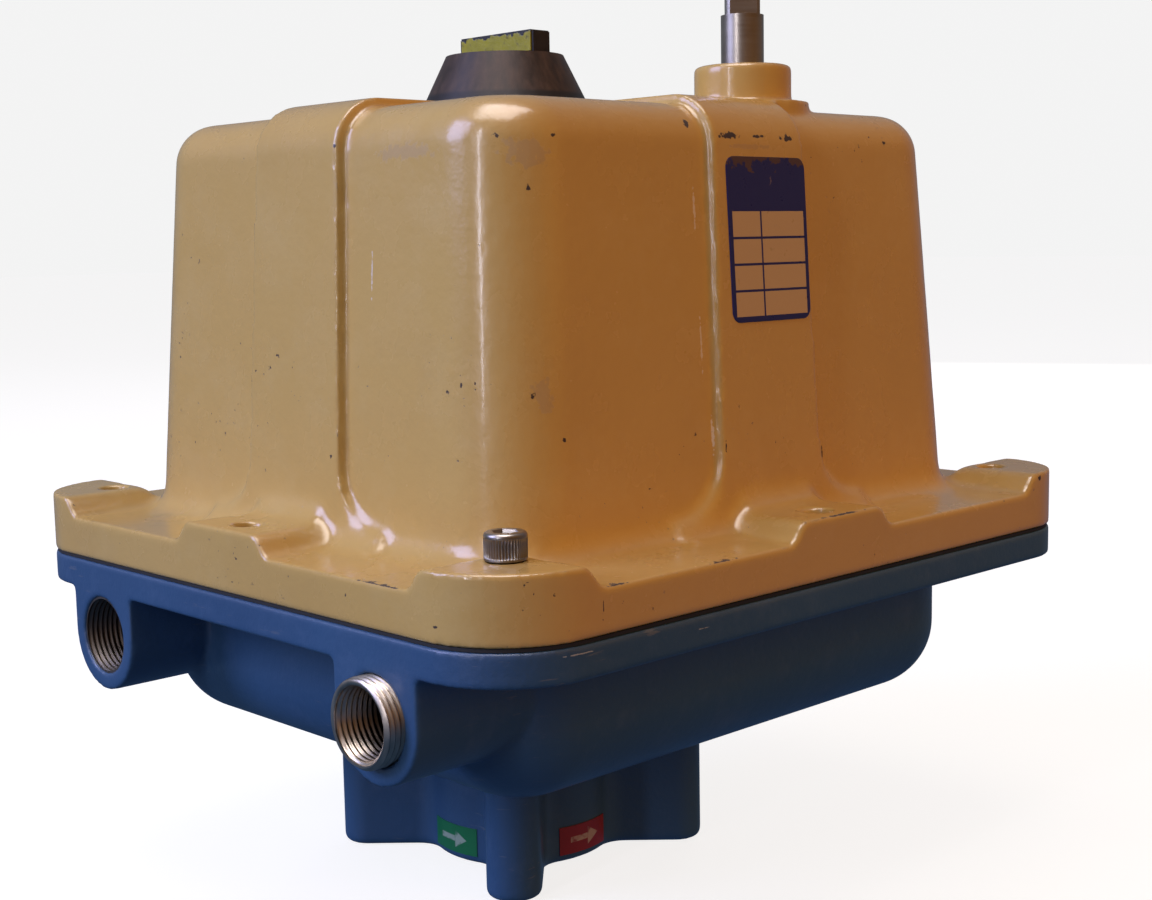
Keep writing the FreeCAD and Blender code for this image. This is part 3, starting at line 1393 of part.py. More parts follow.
def build_train():
    teeth = {key: int(value) for key, value in SIZES.items() if key.endswith("_teeth")}
    third_phase = mesh_phase(teeth["output_teeth"], 0.0, teeth["third_pinion_teeth"],
        SIZES["third_angle"])
    second_phase = mesh_phase(
        teeth["third_gear_teeth"], 0.0, teeth["second_pinion_teeth"], SIZES["second_angle"])
    motor_phase = mesh_phase(
        teeth["second_gear_teeth"], 0.0, teeth["motor_pinion_teeth"], SIZES["motor_angle"])
    override_phase = mesh_phase(
        teeth["output_teeth"], 0.0, teeth["override_teeth"], SIZES["override_angle"])
    output_low, output_width = dim("output_gear_bottom"), dim("output_gear_width")
    third_low, third_width = dim("third_gear_bottom"), dim("third_gear_width")
    second_low, second_width = dim("second_gear_bottom"), dim("second_gear_width")
    return [
        gear_plate(), plate_standoffs(), plate_screws(),
        geared_arbor("third_arbor", THIRD, "third_pinion_teeth", "output_module", output_low,
            output_width, third_phase),
        arbor_gear("third_gear", THIRD, "third_gear_teeth", "third_module", third_low, third_width, 0.0),
        flanged_bushes("third_bushes", THIRD, dim("arbor_radius"), dim("bush_outer")),
        geared_arbor("second_arbor", SECOND, "second_pinion_teeth", "third_module", third_low,
            third_width, second_phase),
        arbor_gear("second_gear", SECOND, "second_gear_teeth", "second_module", second_low,
            second_width, 0.0),
        flanged_bushes("second_bushes", SECOND, dim("arbor_radius"), dim("bush_outer")),
        override_shaft(), override_gear(override_phase),
        cylinder("override_pin", 1.5, 23.0, (OVERRIDE[0] - 11.5, OVERRIDE[1], 92.0), "x"),
        override_bushes(),
        torus("override_seal", dim("override_radius") + 1.5, 1.2, (*OVERRIDE, 258.5)),
        snap_ring("override_retaining_ring", dim("override_radius"), 9.5, 1.2, OVERRIDE, 113.0),
        motor_housing(), motor_end_cap(), motor_stator(), motor_windings(), motor_rotor(), motor_shaft(),
        motor_bearings(), motor_screws(), motor_pinion(motor_phase),
    ]


def build_electrics():
    return [
        capacitor(), capacitor_clamp(), switch_bracket(),
        limit_switch("closed_switch", "closed_cam_bottom"), limit_switch("open_switch",
            "open_cam_bottom"),
        switch_lever("closed_lever", "closed_cam_bottom"), switch_lever("open_lever", "open_cam_bottom"),
        switch_plunger("closed_plunger", "closed_cam_bottom"), switch_plunger("open_plunger",
            "open_cam_bottom"),
        switch_screws(), terminal_block(), terminal_screws(),
    ]


def check_and_export(nodes):
    """Refuses failed features and empty or invalid shapes, then writes one STEP file per node."""
    doc.recompute()
    failed = [item.Label for item in doc.Objects if {"Invalid", "Error"} & set(item.State)]
    for node in nodes:
        if node.Shape.isNull() or not node.Shape.isValid() or not node.Shape.Solids:
            failed.append(node.Label)
    if failed:
        raise RuntimeError("failed: " + ", ".join(failed))
    os.makedirs("parts", exist_ok=True)
    for node in nodes:
        node.Shape.exportStep(f"parts/{node.Label}.step")
    print(len(nodes), "nodes")


check_and_export(build_housing() + build_output() + build_train() + build_electrics())
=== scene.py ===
import json
import math

import bmesh
import bpy
from mathutils import Matrix, Vector


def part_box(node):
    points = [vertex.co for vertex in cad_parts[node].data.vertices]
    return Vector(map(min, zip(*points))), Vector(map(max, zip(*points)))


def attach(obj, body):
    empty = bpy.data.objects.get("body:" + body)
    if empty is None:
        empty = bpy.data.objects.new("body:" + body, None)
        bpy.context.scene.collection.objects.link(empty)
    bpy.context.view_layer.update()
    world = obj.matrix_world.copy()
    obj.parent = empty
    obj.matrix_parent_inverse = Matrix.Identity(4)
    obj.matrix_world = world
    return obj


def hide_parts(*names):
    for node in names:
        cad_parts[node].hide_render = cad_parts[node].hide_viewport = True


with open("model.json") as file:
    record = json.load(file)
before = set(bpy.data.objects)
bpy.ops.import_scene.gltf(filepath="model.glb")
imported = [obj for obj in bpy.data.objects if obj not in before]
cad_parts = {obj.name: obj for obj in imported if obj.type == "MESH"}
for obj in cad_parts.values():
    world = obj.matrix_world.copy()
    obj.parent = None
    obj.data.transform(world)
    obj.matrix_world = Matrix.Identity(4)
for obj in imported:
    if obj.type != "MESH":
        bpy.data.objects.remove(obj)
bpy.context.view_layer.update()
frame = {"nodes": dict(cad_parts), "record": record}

MM = 0.001

# ---- Places read from the frame -----------------------------------------------------------------

MOUNTS = {mount["name"]: mount for mount in frame["record"]["mounts"]}
BUSHING_LOW, BUSHING_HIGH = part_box("conduit_bushing")
BUSHING_AXIS = (BUSHING_LOW + BUSHING_HIGH) / 2
BUSHING_RADIUS = (BUSHING_HIGH.x - BUSHING_LOW.x) / 2
BUSHING_BORE = MOUNTS["bushed_conduit_entry"]["dims"]["r_mm"] * MM
PORT_RADIUS = MOUNTS["left_conduit_entry"]["dims"]["r_mm"] * MM
LEFT_PORT = Vector(MOUNTS["left_conduit_entry"]["pos_m"])
COVER_LOW, COVER_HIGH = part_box("cover_casting")
BASE_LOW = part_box("base_casting")[0]
FRONT_FACE = BASE_LOW.y
SCREW_LOW, SCREW_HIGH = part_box("cover_screws")
LABEL_LOW, LABEL_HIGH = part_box("cover_label")
LABEL_MIDDLE = (LABEL_LOW + LABEL_HIGH) / 2
LABEL_HALF_WIDTH = (LABEL_HIGH.y - LABEL_LOW.y) / 2
LABEL_HALF_HEIGHT = (LABEL_HIGH.z - LABEL_LOW.z) / 2
CONE_LOW, CONE_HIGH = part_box("indicator_cone")
INSERT_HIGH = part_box("indicator_insert")[1]

# ---- Sizes that no box gives ---------------------------------------------------------------------

RIB_HEIGHT = 6.9 * MM
RIB_FOOT = CONE_HIGH.z - RIB_HEIGHT
# The flange's two levels, and the inset of its corner holes from each side.
WEB_TOP = COVER_LOW.z + 13 * MM
PAD_TOP = COVER_LOW.z + 19.5 * MM
CORNER_HOLE = 23.1 * MM
# The cover's walls lean in by this run over this rise.
DRAFT_RUN = 8.4
DRAFT_RISE = 148.0
THREAD_PITCH = 1.814 * MM
THREAD_DEPTH = 0.85 * MM
ENTRY_THREAD_LENGTH = 24 * MM
SCREW_HEAD_RADIUS = 5.95 * MM
SCREW_HEAD_HEIGHT = 7.9 * MM
SCREW_SHANK_RADIUS = 3.97 * MM
SCREW_LENGTH = 28.6 * MM
SCREW_PITCH = 1.41 * MM
SCREW_THREAD_DEPTH = 0.6 * MM
HEX_KEY_ACROSS = 6.35 * MM
KNURLS = 44
KNURL_DEPTH = 0.35 * MM


# ---- Shader building ----------------------------------------------------------------------------

class Finish:
    """Builds one procedural material from the row frame's own coordinates."""

    def __init__(self, name, color=(0.8, 0.8, 0.8), rough=0.5, metal=0.0):
        self.material = bpy.data.materials.new(name)
        self.material.use_nodes = True
        self.tree = self.material.node_tree
        self.shader = self.tree.nodes["Principled BSDF"]
        self.coords = self.add("ShaderNodeTexCoord").outputs["Object"]
        self.put("Base Color", (*color, 1.0))
        self.put("Roughness", rough)
        self.put("Metallic", metal)

    def add(self, kind, inputs=None, **settings):
        node = self.tree.nodes.new(kind)
        for key, value in settings.items():
            setattr(node, key, value)
        for key, value in (inputs or {}).items():
            self.feed(node.inputs[key], value)
        return node

    def feed(self, socket, value):
        if isinstance(value, bpy.types.NodeSocket):
            self.tree.links.new(value, socket)
        else:
            socket.default_value = value

    def put(self, name, value):
        self.feed(self.shader.inputs[name], value)

    def math(self, operation, first, second=0.0, clamp=False):
        node = self.add(
            "ShaderNodeMath", {0: first, 1: second}, operation=operation, use_clamp=clamp)
        return node.outputs[0]

    def noise(self, scale, detail=3.0, distortion=0.0, vector=None, rough=0.55):
        node = self.add("ShaderNodeTexNoise", {
            "Vector": vector or self.coords, "Scale": scale, "Detail": detail,
            "Roughness": rough, "Distortion": distortion})
        return node.outputs["Fac"]

    def stretched(self, factors, shift=(0.0, 0.0, 0.0)):
        node = self.add(
            "ShaderNodeMapping", {"Vector": self.coords, "Scale": factors, "Location": shift})
        return node.outputs["Vector"]

    def step(self, value, low, high):
        """0 below low, 1 above high, and a straight ramp between; falls when low is above high."""
        node = self.add("ShaderNodeMapRange", {
            "Value": value, "From Min": low, "From Max": high, "To Min": 0.0, "To Max": 1.0})
        return node.outputs["Result"]

    def mix(self, amount, first, second):
        node = self.add("ShaderNodeMix", data_type="RGBA")
        self.feed(node.inputs[0], amount)
        for socket, color in ((node.inputs[6], first), (node.inputs[7], second)):
            self.feed(socket, color if isinstance(color, bpy.types.NodeSocket) else (*color, 1.0))
        return node.outputs[2]

    def blend_values(self, amount, first, second):
        node = self.add("ShaderNodeMix", data_type="FLOAT")
        for index, value in ((0, amount), (2, first), (3, second)):
            self.feed(node.inputs[index], value)
        return node.outputs[0]

    def most(self, *values):
        total = values[0]
        for value in values[1:]:
            total = self.math("MAXIMUM", total, value)
        return total

    def bump(self, height, strength, distance):
        node = self.add(
            "ShaderNodeBump", {"Height": height, "Strength": strength, "Distance": distance})
        self.put("Normal", node.outputs["Normal"])

    def band(self, value, low, high):
        """1 between low and high, 0 outside."""
        above = self.math("GREATER_THAN", value, low)
        return self.math("MULTIPLY", above, self.math("LESS_THAN", value, high))

    def plane(self, middle, axis):
        """Distance from a point along X or Y, and upright."""
        shifted = self.add(
            "ShaderNodeVectorMath", {0: self.coords, 1: tuple(middle)}, operation="SUBTRACT")
        parts = self.add("ShaderNodeSeparateXYZ", {"Vector": shifted.outputs["Vector"]})
        return parts.outputs[axis], parts.outputs["Z"]

    def spots(self, places, ragged, breakup):
        """Ragged marks: each place is a centre and half-sizes along X, Y and Z, in metres."""
        wobble = self.math("MULTIPLY", self.math("SUBTRACT", self.noise(ragged, 3.0), 0.5), breakup)
        total = 0.0
        for centre, size in places:
            factors = tuple(1.0 / length for length in size)
            shift = tuple(-middle / length for middle, length in zip(centre, size))
            place = self.stretched(factors, shift)
            length = self.add("ShaderNodeVectorMath", {0: place}, operation="LENGTH").outputs["Value"]
            inside = self.math("SUBTRACT", 1.0, self.math("ADD", length, wobble))
            mark = self.math("MULTIPLY", inside, 5.0)
            total = self.math("MAXIMUM", total, mark)
        return self.math("MINIMUM", total, 1.0)


def curvature_for_wear_and_shade(finish):
    """The mesh's own curvature (pointiness): high on edges, where the paint wears, and low in hollows, where
    shade is painted.
    """
    return finish.add("ShaderNodeNewGeometry").outputs["Pointiness"]


# ---- Materials ----------------------------------------------------------------------------------

def cover_enamel():
    finish = Finish("cover_enamel", rough=0.34)
    patches = finish.step(finish.noise(9.0, 3.0), 0.3, 0.7)
    tone = finish.mix(patches, (0.60, 0.400, 0.125), (0.57, 0.370, 0.105))
    dust = finish.step(finish.noise(38.0, 5.0, rough=0.7), 0.50, 0.8)
    tone = finish.mix(finish.math("MULTIPLY", dust, 0.3), tone, (0.66, 0.50, 0.22))
    grime = finish.step(finish.noise(17.0, 6.0, rough=0.65), 0.50, 0.75)
    tone = finish.mix(finish.math("MULTIPLY", grime, 0.18), tone, (0.38, 0.23, 0.09))
    # Painted shade with some dirt: the cover's hollows (low pointiness), such as the groove at the band's
    # edge and the wall's foot, are darkened to a golden brown, as shade falls there.
    hollow_shade_and_dirt = finish.math("MULTIPLY", finish.step(curvature_for_wear_and_shade(finish), 0.49, 0.45), 0.5)
    tone = finish.mix(hollow_shade_and_dirt, tone, (0.43, 0.23, 0.06))
    rubbed = finish.spots([face_mark(*mark) for mark in COVER_RUBS], 420.0, 2.4)
    tone = finish.mix(finish.math("MULTIPLY", rubbed, 0.35), tone, (0.36, 0.25, 0.14))
    bared = finish.spots([face_mark(*mark) for mark in COVER_BARED], 700.0, 3.4)
    tone = finish.mix(finish.math("MULTIPLY", bared, 0.75), tone, (0.74, 0.68, 0.58))
    edge = finish.step(curvature_for_wear_and_shade(finish), 0.53, 0.575)
    edge_breaks = finish.step(finish.noise(130.0, 4.0), 0.56, 0.62)
    worn = finish.math("MULTIPLY", edge, edge_breaks)
    speckle = finish.step(finish.noise(520.0, 2.0), 0.70, 0.735)
    flecks = finish.math("MULTIPLY", speckle, finish.step(finish.noise(24.0, 2.0), 0.54, 0.62))
    chips = finish.spots([face_mark(*mark) for mark in COVER_CHIPS], 620.0, 3.2)
    dark = finish.most(worn, flecks, chips)
    finish.put("Base Color", finish.mix(dark, tone, (0.045, 0.026, 0.017)))
    gloss = finish.blend_values(finish.noise(60.0, 4.0), 0.16, 0.36)
    dulled = finish.most(dark, finish.math("MULTIPLY", finish.most(rubbed, bared), 0.6))
    finish.put("Roughness", finish.blend_values(dulled, gloss, 0.75))
    finish.shader.inputs["Coat Weight"].default_value = 0.35
    finish.shader.inputs["Coat Roughness"].default_value = 0.1
    fine = finish.noise(300.0, 2.0)
    peel = finish.math("ADD", fine, finish.math("MULTIPLY", finish.noise(26.0, 2.0), 2.5))
    finish.bump(finish.math("SUBTRACT", peel, finish.math("MULTIPLY", flecks, 0.9)), 0.2, 0.0006)
    return finish.material


def base_enamel():
    finish = Finish("base_enamel", rough=0.4)
    patches = finish.step(finish.noise(14.0, 3.0), 0.3, 0.7)
    tone = finish.mix(patches, (0.036, 0.096, 0.200), (0.030, 0.080, 0.172))
    dust = finish.step(finish.noise(55.0, 5.0, rough=0.7), 0.52, 0.85)
    tone = finish.mix(finish.math("MULTIPLY", dust, 0.35), tone, (0.10, 0.17, 0.30))
    # Painted shade with some dirt: the base's hollows (low pointiness) are darkened to a dark navy, as shade
    # falls there.
    hollow_shade_and_dirt = finish.math("MULTIPLY", finish.step(curvature_for_wear_and_shade(finish), 0.49, 0.44), 0.6)
    tone = finish.mix(hollow_shade_and_dirt, tone, (0.014, 0.030, 0.075))
    edge = finish.step(curvature_for_wear_and_shade(finish), 0.55, 0.60)
    worn = finish.math("MULTIPLY", edge, finish.step(finish.noise(140.0, 4.0), 0.60, 0.68))
    brushed = finish.noise(90.0, 4.0, vector=finish.stretched((1.0, 1.0, 9.0)))
    brushed = finish.step(brushed, 0.64, 0.70)
    scuff = finish.math("MULTIPLY", brushed, finish.step(finish.noise(13.0, 2.0), 0.54, 0.64))
    bare = finish.most(worn, finish.math("MULTIPLY", scuff, 0.5))
    tone = finish.mix(bare, tone, (0.16, 0.18, 0.21))
    scratches = finish.spots([face_mark(*mark) for mark in BASE_SCRATCHES], 600.0, 3.4)
    tone = finish.mix(finish.math("MULTIPLY", scratches, 0.8), tone, (0.42, 0.47, 0.52))
    finish.put("Base Color", tone)
    finish.put("Roughness", finish.blend_values(finish.noise(70.0, 4.0), 0.30, 0.50))
    finish.shader.inputs["Coat Weight"].default_value = 0.15
    finish.shader.inputs["Coat Roughness"].default_value = 0.2
    fine = finish.noise(380.0, 3.0)
    cast = finish.math("ADD", fine, finish.math("MULTIPLY", finish.noise(35.0, 2.0), 2.0))
    finish.bump(cast, 0.25, 0.0006)
    return finish.material


def cover_print():
    """A generic rectangular rating plate: a blue head and frame round an empty ruled table."""
    finish = Finish("label_print", rough=0.3)
    across, upright = finish.plane(LABEL_MIDDLE, "Y")
    scuffed = finish.noise(260.0, 4.0)
    blue = (0.012, 0.018, 0.15)
    wide, tall = LABEL_HALF_WIDTH, LABEL_HALF_HEIGHT
    body = finish.band(upright, -0.93 * tall, 0.34 * tall)
    body = finish.math("MULTIPLY", body, finish.band(across, -0.91 * wide, 0.91 * wide))
    rules = finish.band(across, -0.22 * wide, -0.18 * wide)
    for height in (0.02, -0.30, -0.62):
        rules = finish.most(rules, finish.band(upright, (height - 0.015) * tall, (height + 0.015) * tall))
    table = finish.mix(rules, (0.56, 0.42, 0.24), blue)
    tone = finish.mix(body, blue, table)
    uneven = finish.math("MULTIPLY", finish.math("SUBTRACT", scuffed, 0.5), 0.016)
    lost = finish.step(finish.math("ADD", upright, uneven), tall * 0.90, tall * 0.92)
    tone = finish.mix(finish.math("MULTIPLY", lost, 0.8), tone, (0.10, 0.055, 0.03))
    rubs = finish.step(finish.noise(170.0, 4.0), 0.66, 0.72)
    tone = finish.mix(finish.math("MULTIPLY", rubs, 0.5), tone, (0.52, 0.40, 0.25))
    finish.put("Base Color", tone)
    finish.put("Roughness", finish.blend_values(scuffed, 0.2, 0.42))
    finish.bump(scuffed, 0.1, 0.0002)
    return finish.material


def hub_tag(name, color, node, axis):
    """A tag with a plain arrow printed on it, a little rubbed."""
    low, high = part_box(node)
    finish = Finish(name, color, 0.38)
    across, upright = finish.plane((low + high) / 2, axis)
    half = ((high.x - low.x) if axis == "X" else (high.y - low.y)) / 2
    away = finish.math("ABSOLUTE", upright)
    stem = finish.band(across, -half * 0.6, half * 0.1)
    stem = finish.math("MULTIPLY", finish.step(away, 0.0011, 0.0009), stem)
    taper = finish.math("MULTIPLY", finish.math("SUBTRACT", half * 0.62, across), 0.6)
    inside = finish.step(finish.math("SUBTRACT", taper, away), 0.0, 0.0002)
    tip = finish.math("MULTIPLY", inside, finish.step(across, half * 0.1, half * 0.12))
    kept = finish.step(finish.noise(300.0, 3.0), 0.66, 0.5)
    arrow = finish.math("MULTIPLY", finish.math("MULTIPLY", finish.most(stem, tip), kept), 0.55)
    mottled = finish.mix(finish.noise(150.0, 3.0), color, tuple(0.7 * part for part in color))
    finish.put("Base Color", finish.mix(arrow, mottled, (0.55, 0.60, 0.55)))
    finish.put("Roughness", finish.blend_values(finish.noise(120.0, 3.0), 0.3, 0.5))
    finish.bump(finish.noise(500.0, 2.0), 0.1, 0.0002)
    return finish.material


def indicator_black():
    """Worn moulding: brownish, streaked down its slope, darker at its foot."""
    finish = Finish("indicator_black", rough=0.4)
    streaks = finish.noise(1.0, 4.0, vector=finish.stretched((330.0, 330.0, 30.0)))
    tone = finish.mix(finish.step(streaks, 0.35, 0.7), (0.026, 0.016, 0.011), (0.062, 0.038, 0.026))
    height = finish.add("ShaderNodeSeparateXYZ", {"Vector": finish.coords}).outputs["Z"]
    foot = finish.step(height, CONE_LOW.z + 0.0040, CONE_LOW.z + 0.0030)
    tone = finish.mix(foot, tone, (0.012, 0.010, 0.010))
    rib = finish.step(height, RIB_FOOT, RIB_FOOT + 0.0004)
    tone = finish.mix(finish.math("MULTIPLY", rib, 0.8), tone, (0.010, 0.010, 0.010))
    finish.put("Base Color", tone)
    finish.put("Roughness", finish.blend_values(streaks, 0.34, 0.58))
    finish.shader.inputs["Specular IOR Level"].default_value = 0.3
    finish.bump(finish.math("ADD", streaks, finish.noise(700.0, 2.0)), 0.15, 0.0002)
    return finish.material


def indicator_yellow():
    """A painted strip, chipped through to black along its upper edge."""
    finish = Finish("indicator_yellow", rough=0.42)
    height = finish.add("ShaderNodeSeparateXYZ", {"Vector": finish.coords}).outputs["Z"]
    uneven = finish.math("MULTIPLY", finish.math("SUBTRACT", finish.noise(260.0, 4.0), 0.5), 0.006)
    ragged = finish.math("ADD", height, uneven)
    lost = finish.step(ragged, INSERT_HIGH.z - 0.9 * MM, INSERT_HIGH.z - 0.6 * MM)
    tone = finish.mix(finish.noise(180.0, 4.0), (0.40, 0.36, 0.006), (0.22, 0.20, 0.006))
    grime = finish.math("MULTIPLY", finish.step(finish.noise(420.0, 3.0), 0.58, 0.7), 0.6)
    tone = finish.mix(grime, tone, (0.06, 0.05, 0.01))
    finish.put("Base Color", finish.mix(lost, tone, (0.014, 0.013, 0.011)))
    finish.put("Roughness", finish.blend_values(finish.noise(300.0, 3.0), 0.3, 0.55))
    finish.bump(finish.math("SUBTRACT", finish.noise(500.0, 2.0), lost), 0.3, 0.0004)
    return finish.material


def metal(name, color, rough, grain=(400.0, 400.0, 60.0)):
    """Machined metal: a fine directional grain, uneven gloss and a little staining."""
    finish = Finish(name, color, rough, 1.0)
    lines = finish.noise(1.0, 3.0, vector=finish.stretched(grain))
    patches = finish.step(finish.noise(90.0, 3.0), 0.45, 0.8)
    tone = finish.mix(lines, tuple(0.82 * part for part in color), color)
    tone = finish.mix(finish.math("MULTIPLY", patches, 0.3), tone, (0.10, 0.08, 0.06))
    finish.put("Base Color", tone)
    finish.put("Roughness", finish.blend_values(lines, rough * 0.75, min(rough * 1.35, 1.0)))
    finish.bump(lines, 0.12, 0.0002)
    return finish.material


def bushing_metal():
    """Turned steel, darker down its bore from the mouth inward: painted shade with oily grime."""
    finish = Finish("bushing_steel", rough=0.3, metal=1.0)
    turned = finish.noise(1.0, 3.0, vector=finish.stretched((250.0, 900.0, 250.0)))
    tone = finish.mix(turned, (0.44, 0.38, 0.31), (0.60, 0.53, 0.44))
    stains = finish.step(finish.noise(110.0, 4.0), 0.48, 0.75)
    tone = finish.mix(finish.math("MULTIPLY", stains, 0.45), tone, (0.16, 0.11, 0.07))
    depth = finish.add("ShaderNodeSeparateXYZ", {"Vector": finish.coords}).outputs["Y"]
    # Painted shade with oily grime: the steel darkens from just inside the mouth to near black deeper along
    # the bore.
    bore_shade_and_grime = finish.step(depth, BUSHING_LOW.y + 2.5 * MM, BUSHING_LOW.y + 15 * MM)
    finish.put("Base Color", finish.mix(bore_shade_and_grime, tone, (0.035, 0.028, 0.022)))
    finish.put("Roughness", finish.blend_values(turned, 0.24, 0.42))
    finish.bump(turned, 0.12, 0.0002)
    return finish.material


def moulded(name, color, rough):
    """Plastic or rubber: slight mottling, uneven gloss and a fine skin."""
    finish = Finish(name, color, rough)
    light = tuple(min(1.0, part * 1.6 + 0.015) for part in color)
    tone = finish.mix(finish.math("MULTIPLY", finish.noise(72.0, 4.0), 0.5), color, light)
    finish.put("Base Color", tone)
    uneven = finish.noise(120.0, 3.0)
    finish.put("Roughness", finish.blend_values(uneven, rough * 0.8, min(1.0, rough * 1.2)))
    finish.bump(finish.noise(720.0, 2.0), 0.15, 0.0002)
    return finish.material


# Marks on a face of the cover's box: the face, a place as shares of the box along and up the face,
# and the mark's width and height in millimetres.
COVER_CHIPS = (
    ("right", 0.45, 0.84, 9.0, 2.0), ("right", 0.50, 0.84, 6.0, 1.0), ("right", 0.55, 0.84, 6.0, 2.0),
    ("right", 0.40, 0.86, 2.0, 3.0), ("right", 0.75, 0.84, 2.0, 2.0), ("right", 0.57, 0.55, 0.5, 9.0),
    ("right", 0.59, 0.35, 0.5, 14.0), ("right", 0.60, 0.20, 0.6, 8.0), ("right", 0.42, 0.25, 0.7, 3.0),
    ("corner", 0.15, 0.83, 1.5, 1.5), ("corner", 0.20, 0.83, 2.0, 1.2), ("corner", 0.17, 0.74, 1.0, 2.0),
    ("corner", 0.16, 0.38, 1.5, 2.0), ("corner", 0.19, 0.30, 1.2, 1.2), ("front", 0.58, 0.83, 1.2, 1.2),
    ("front", 0.58, 0.25, 1.0, 1.5), ("front", 0.80, 0.40, 0.7, 1.5),
    ("right_edge", 0.13, 0.05, 0.35, 3.0), ("right_edge", 0.15, 0.08, 7.0, 0.35),
    ("right_edge", 0.30, 0.08, 13.0, 0.35), ("right_edge", 0.50, 0.12, 18.0, 0.35),
    ("right_edge", 0.90, 0.11, 2.0, 2.0), ("front_edge", 0.75, 0.05, 0.7, 1.2),
    ("front_edge", 0.80, 0.08, 18.0, 0.35), ("front_edge", 0.90, 0.03, 1.5, 0.6),
    ("front_edge", 0.93, 0.09, 2.0, 0.8),
)
COVER_RUBS = (
    ("front", 0.40, 0.35, 1.0, 28.0), ("front", 0.70, 0.81, 28.0, 5.0), ("corner", 0.17, 0.80, 12.0, 9.0),
    ("front_edge", 0.94, 0.06, 9.0, 5.0), ("right", 0.48, 0.82, 20.0, 1.6), ("corner", 0.17, 0.38, 6.0, 9.0),
)
COVER_BARED = (
    ("right", 0.40, 0.70, 0.8, 14.0), ("right", 0.40, 0.45, 0.7, 16.0), ("right", 0.41, 0.27, 0.8, 12.0),
    ("front", 0.64, 0.60, 0.6, 12.0),
)
BASE_SCRATCHES = (("right_edge", 0.10, -0.02, 8.0, 0.35), ("right_edge", 0.27, -0.03, 3.0, 0.3))


def face_mark(face, along, up, width, height):
    """Centre and half-sizes of a mark, in metres; deep enough to reach a drafted face."""
    x, y, z = (low + (high - low) * share for low, high, share in zip(
        COVER_LOW, COVER_HIGH, (along, along, up)))
    width, height = width * MM / 2, height * MM / 2
    if face == "front":
        return (x, COVER_LOW.y + 32 * MM, z), (width, 12 * MM, height)
    if face == "front_edge":
        return (x, COVER_LOW.y, z), (width, 3 * MM, height)
    if face == "right_edge":
        return (COVER_HIGH.x, y, z), (3 * MM, width, height)
    return (COVER_HIGH.x - 34 * MM, y, z), (14 * MM, width, height)


# ---- Mesh helpers -------------------------------------------------------------------------------

def link_mesh(name, mesh, material, body, node=None):
    """Adds a mesh as a piece that rides on a body, and stands for a CAD node if one is named."""
    piece = bpy.data.objects.new(name, mesh)
    bpy.context.scene.collection.objects.link(piece)
    mesh.materials.clear()
    mesh.materials.append(material)
    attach(piece, body)
    if node:
        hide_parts(node)
    return piece


def shade(mesh, angle):
    """Smooth shading, kept sharp where two faces meet at more than the angle in degrees."""
    mesh.polygons.foreach_set("use_smooth", [True] * len(mesh.polygons))
    mesh.set_sharp_from_angle(angle=math.radians(angle))


EASE_ROUNDS = 14


def clamped(value):
    return min(1.0, max(0.0, value))


def eased_share(point):
    """How strongly a point of the cover is eased: 1 in the hollow at the wall's foot, 0 elsewhere.

    The share fades out towards the flange's edge, round the corner holes and up the wall.
    """
    x, y, z = point
    if z < WEB_TOP - 0.4 * MM:
        return 0.0
    middle = (COVER_LOW + COVER_HIGH) / 2
    from_side = COVER_HIGH.x - middle.x - abs(x - middle.x)
    from_front = COVER_HIGH.y - middle.y - abs(y - middle.y)
    from_hole = math.hypot(from_side - CORNER_HOLE, from_front - CORNER_HOLE)
    inside = clamped((min(from_side, from_front) - 13 * MM) / (5 * MM))
    clear = clamped((from_hole - 7 * MM) / (4 * MM))
    low = clamped((PAD_TOP + 11 * MM - z) / (8 * MM))
    return inside * clear * low


def ease_foot(source, rounds):
    """Smooths the cover further where its wall meets the flange, by shares in eighths."""
    group = source.vertex_groups.new(name="eased")
    levels = {}
    for vert in source.data.vertices:
        level = round(eased_share(vert.co) * 8)
        if level:
            levels.setdefault(level, []).append(vert.index)
    for level, members in levels.items():
        group.add(members, level / 8, "REPLACE")
    ease = source.modifiers.new("ease", "SMOOTH")
    ease.factor = 0.5
    ease.iterations = rounds
    ease.vertex_group = "eased"


def softened(node, voxel, rounds, keep):
    """A copy of a casting with every edge worn round, as cast and painted metal has."""
    source = bpy.data.objects.new(node + "_work", frame["nodes"][node].data.copy())
    bpy.context.scene.collection.objects.link(source)
    remesh = source.modifiers.new("remesh", "REMESH")
    remesh.mode = "VOXEL"
    remesh.voxel_size = voxel
    graph = bpy.context.evaluated_depsgraph_get()
    source.data = bpy.data.meshes.new_from_object(source.evaluated_get(graph))
    source.modifiers.clear()
    smooth = source.modifiers.new("smooth", "SMOOTH")
    smooth.factor = 0.5
    smooth.iterations = rounds
    if node == "cover_casting":
        ease_foot(source, rounds * EASE_ROUNDS)
    thin = source.modifiers.new("thin", "DECIMATE")
    thin.ratio = keep
    graph = bpy.context.evaluated_depsgraph_get()
    mesh = bpy.data.meshes.new_from_object(source.evaluated_get(graph))
    bpy.data.objects.remove(source)
    mesh.polygons.foreach_set("use_smooth", [True] * len(mesh.polygons))
    return mesh


# ---- Pieces -------------------------------------------------------------------------------------

def castings(materials):
    """Both castings, remeshed finely enough that their worn edges are real curves."""
    voxel, rounds, keep = ((0.9 * MM, 4, 0.35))
    for node, slot in (("cover_casting", "cover_enamel"), ("base_casting", "base_enamel")):
        mesh = softened(node, voxel, rounds, keep)
        link_mesh(node + "_skin", mesh, materials[slot], "housing", node)


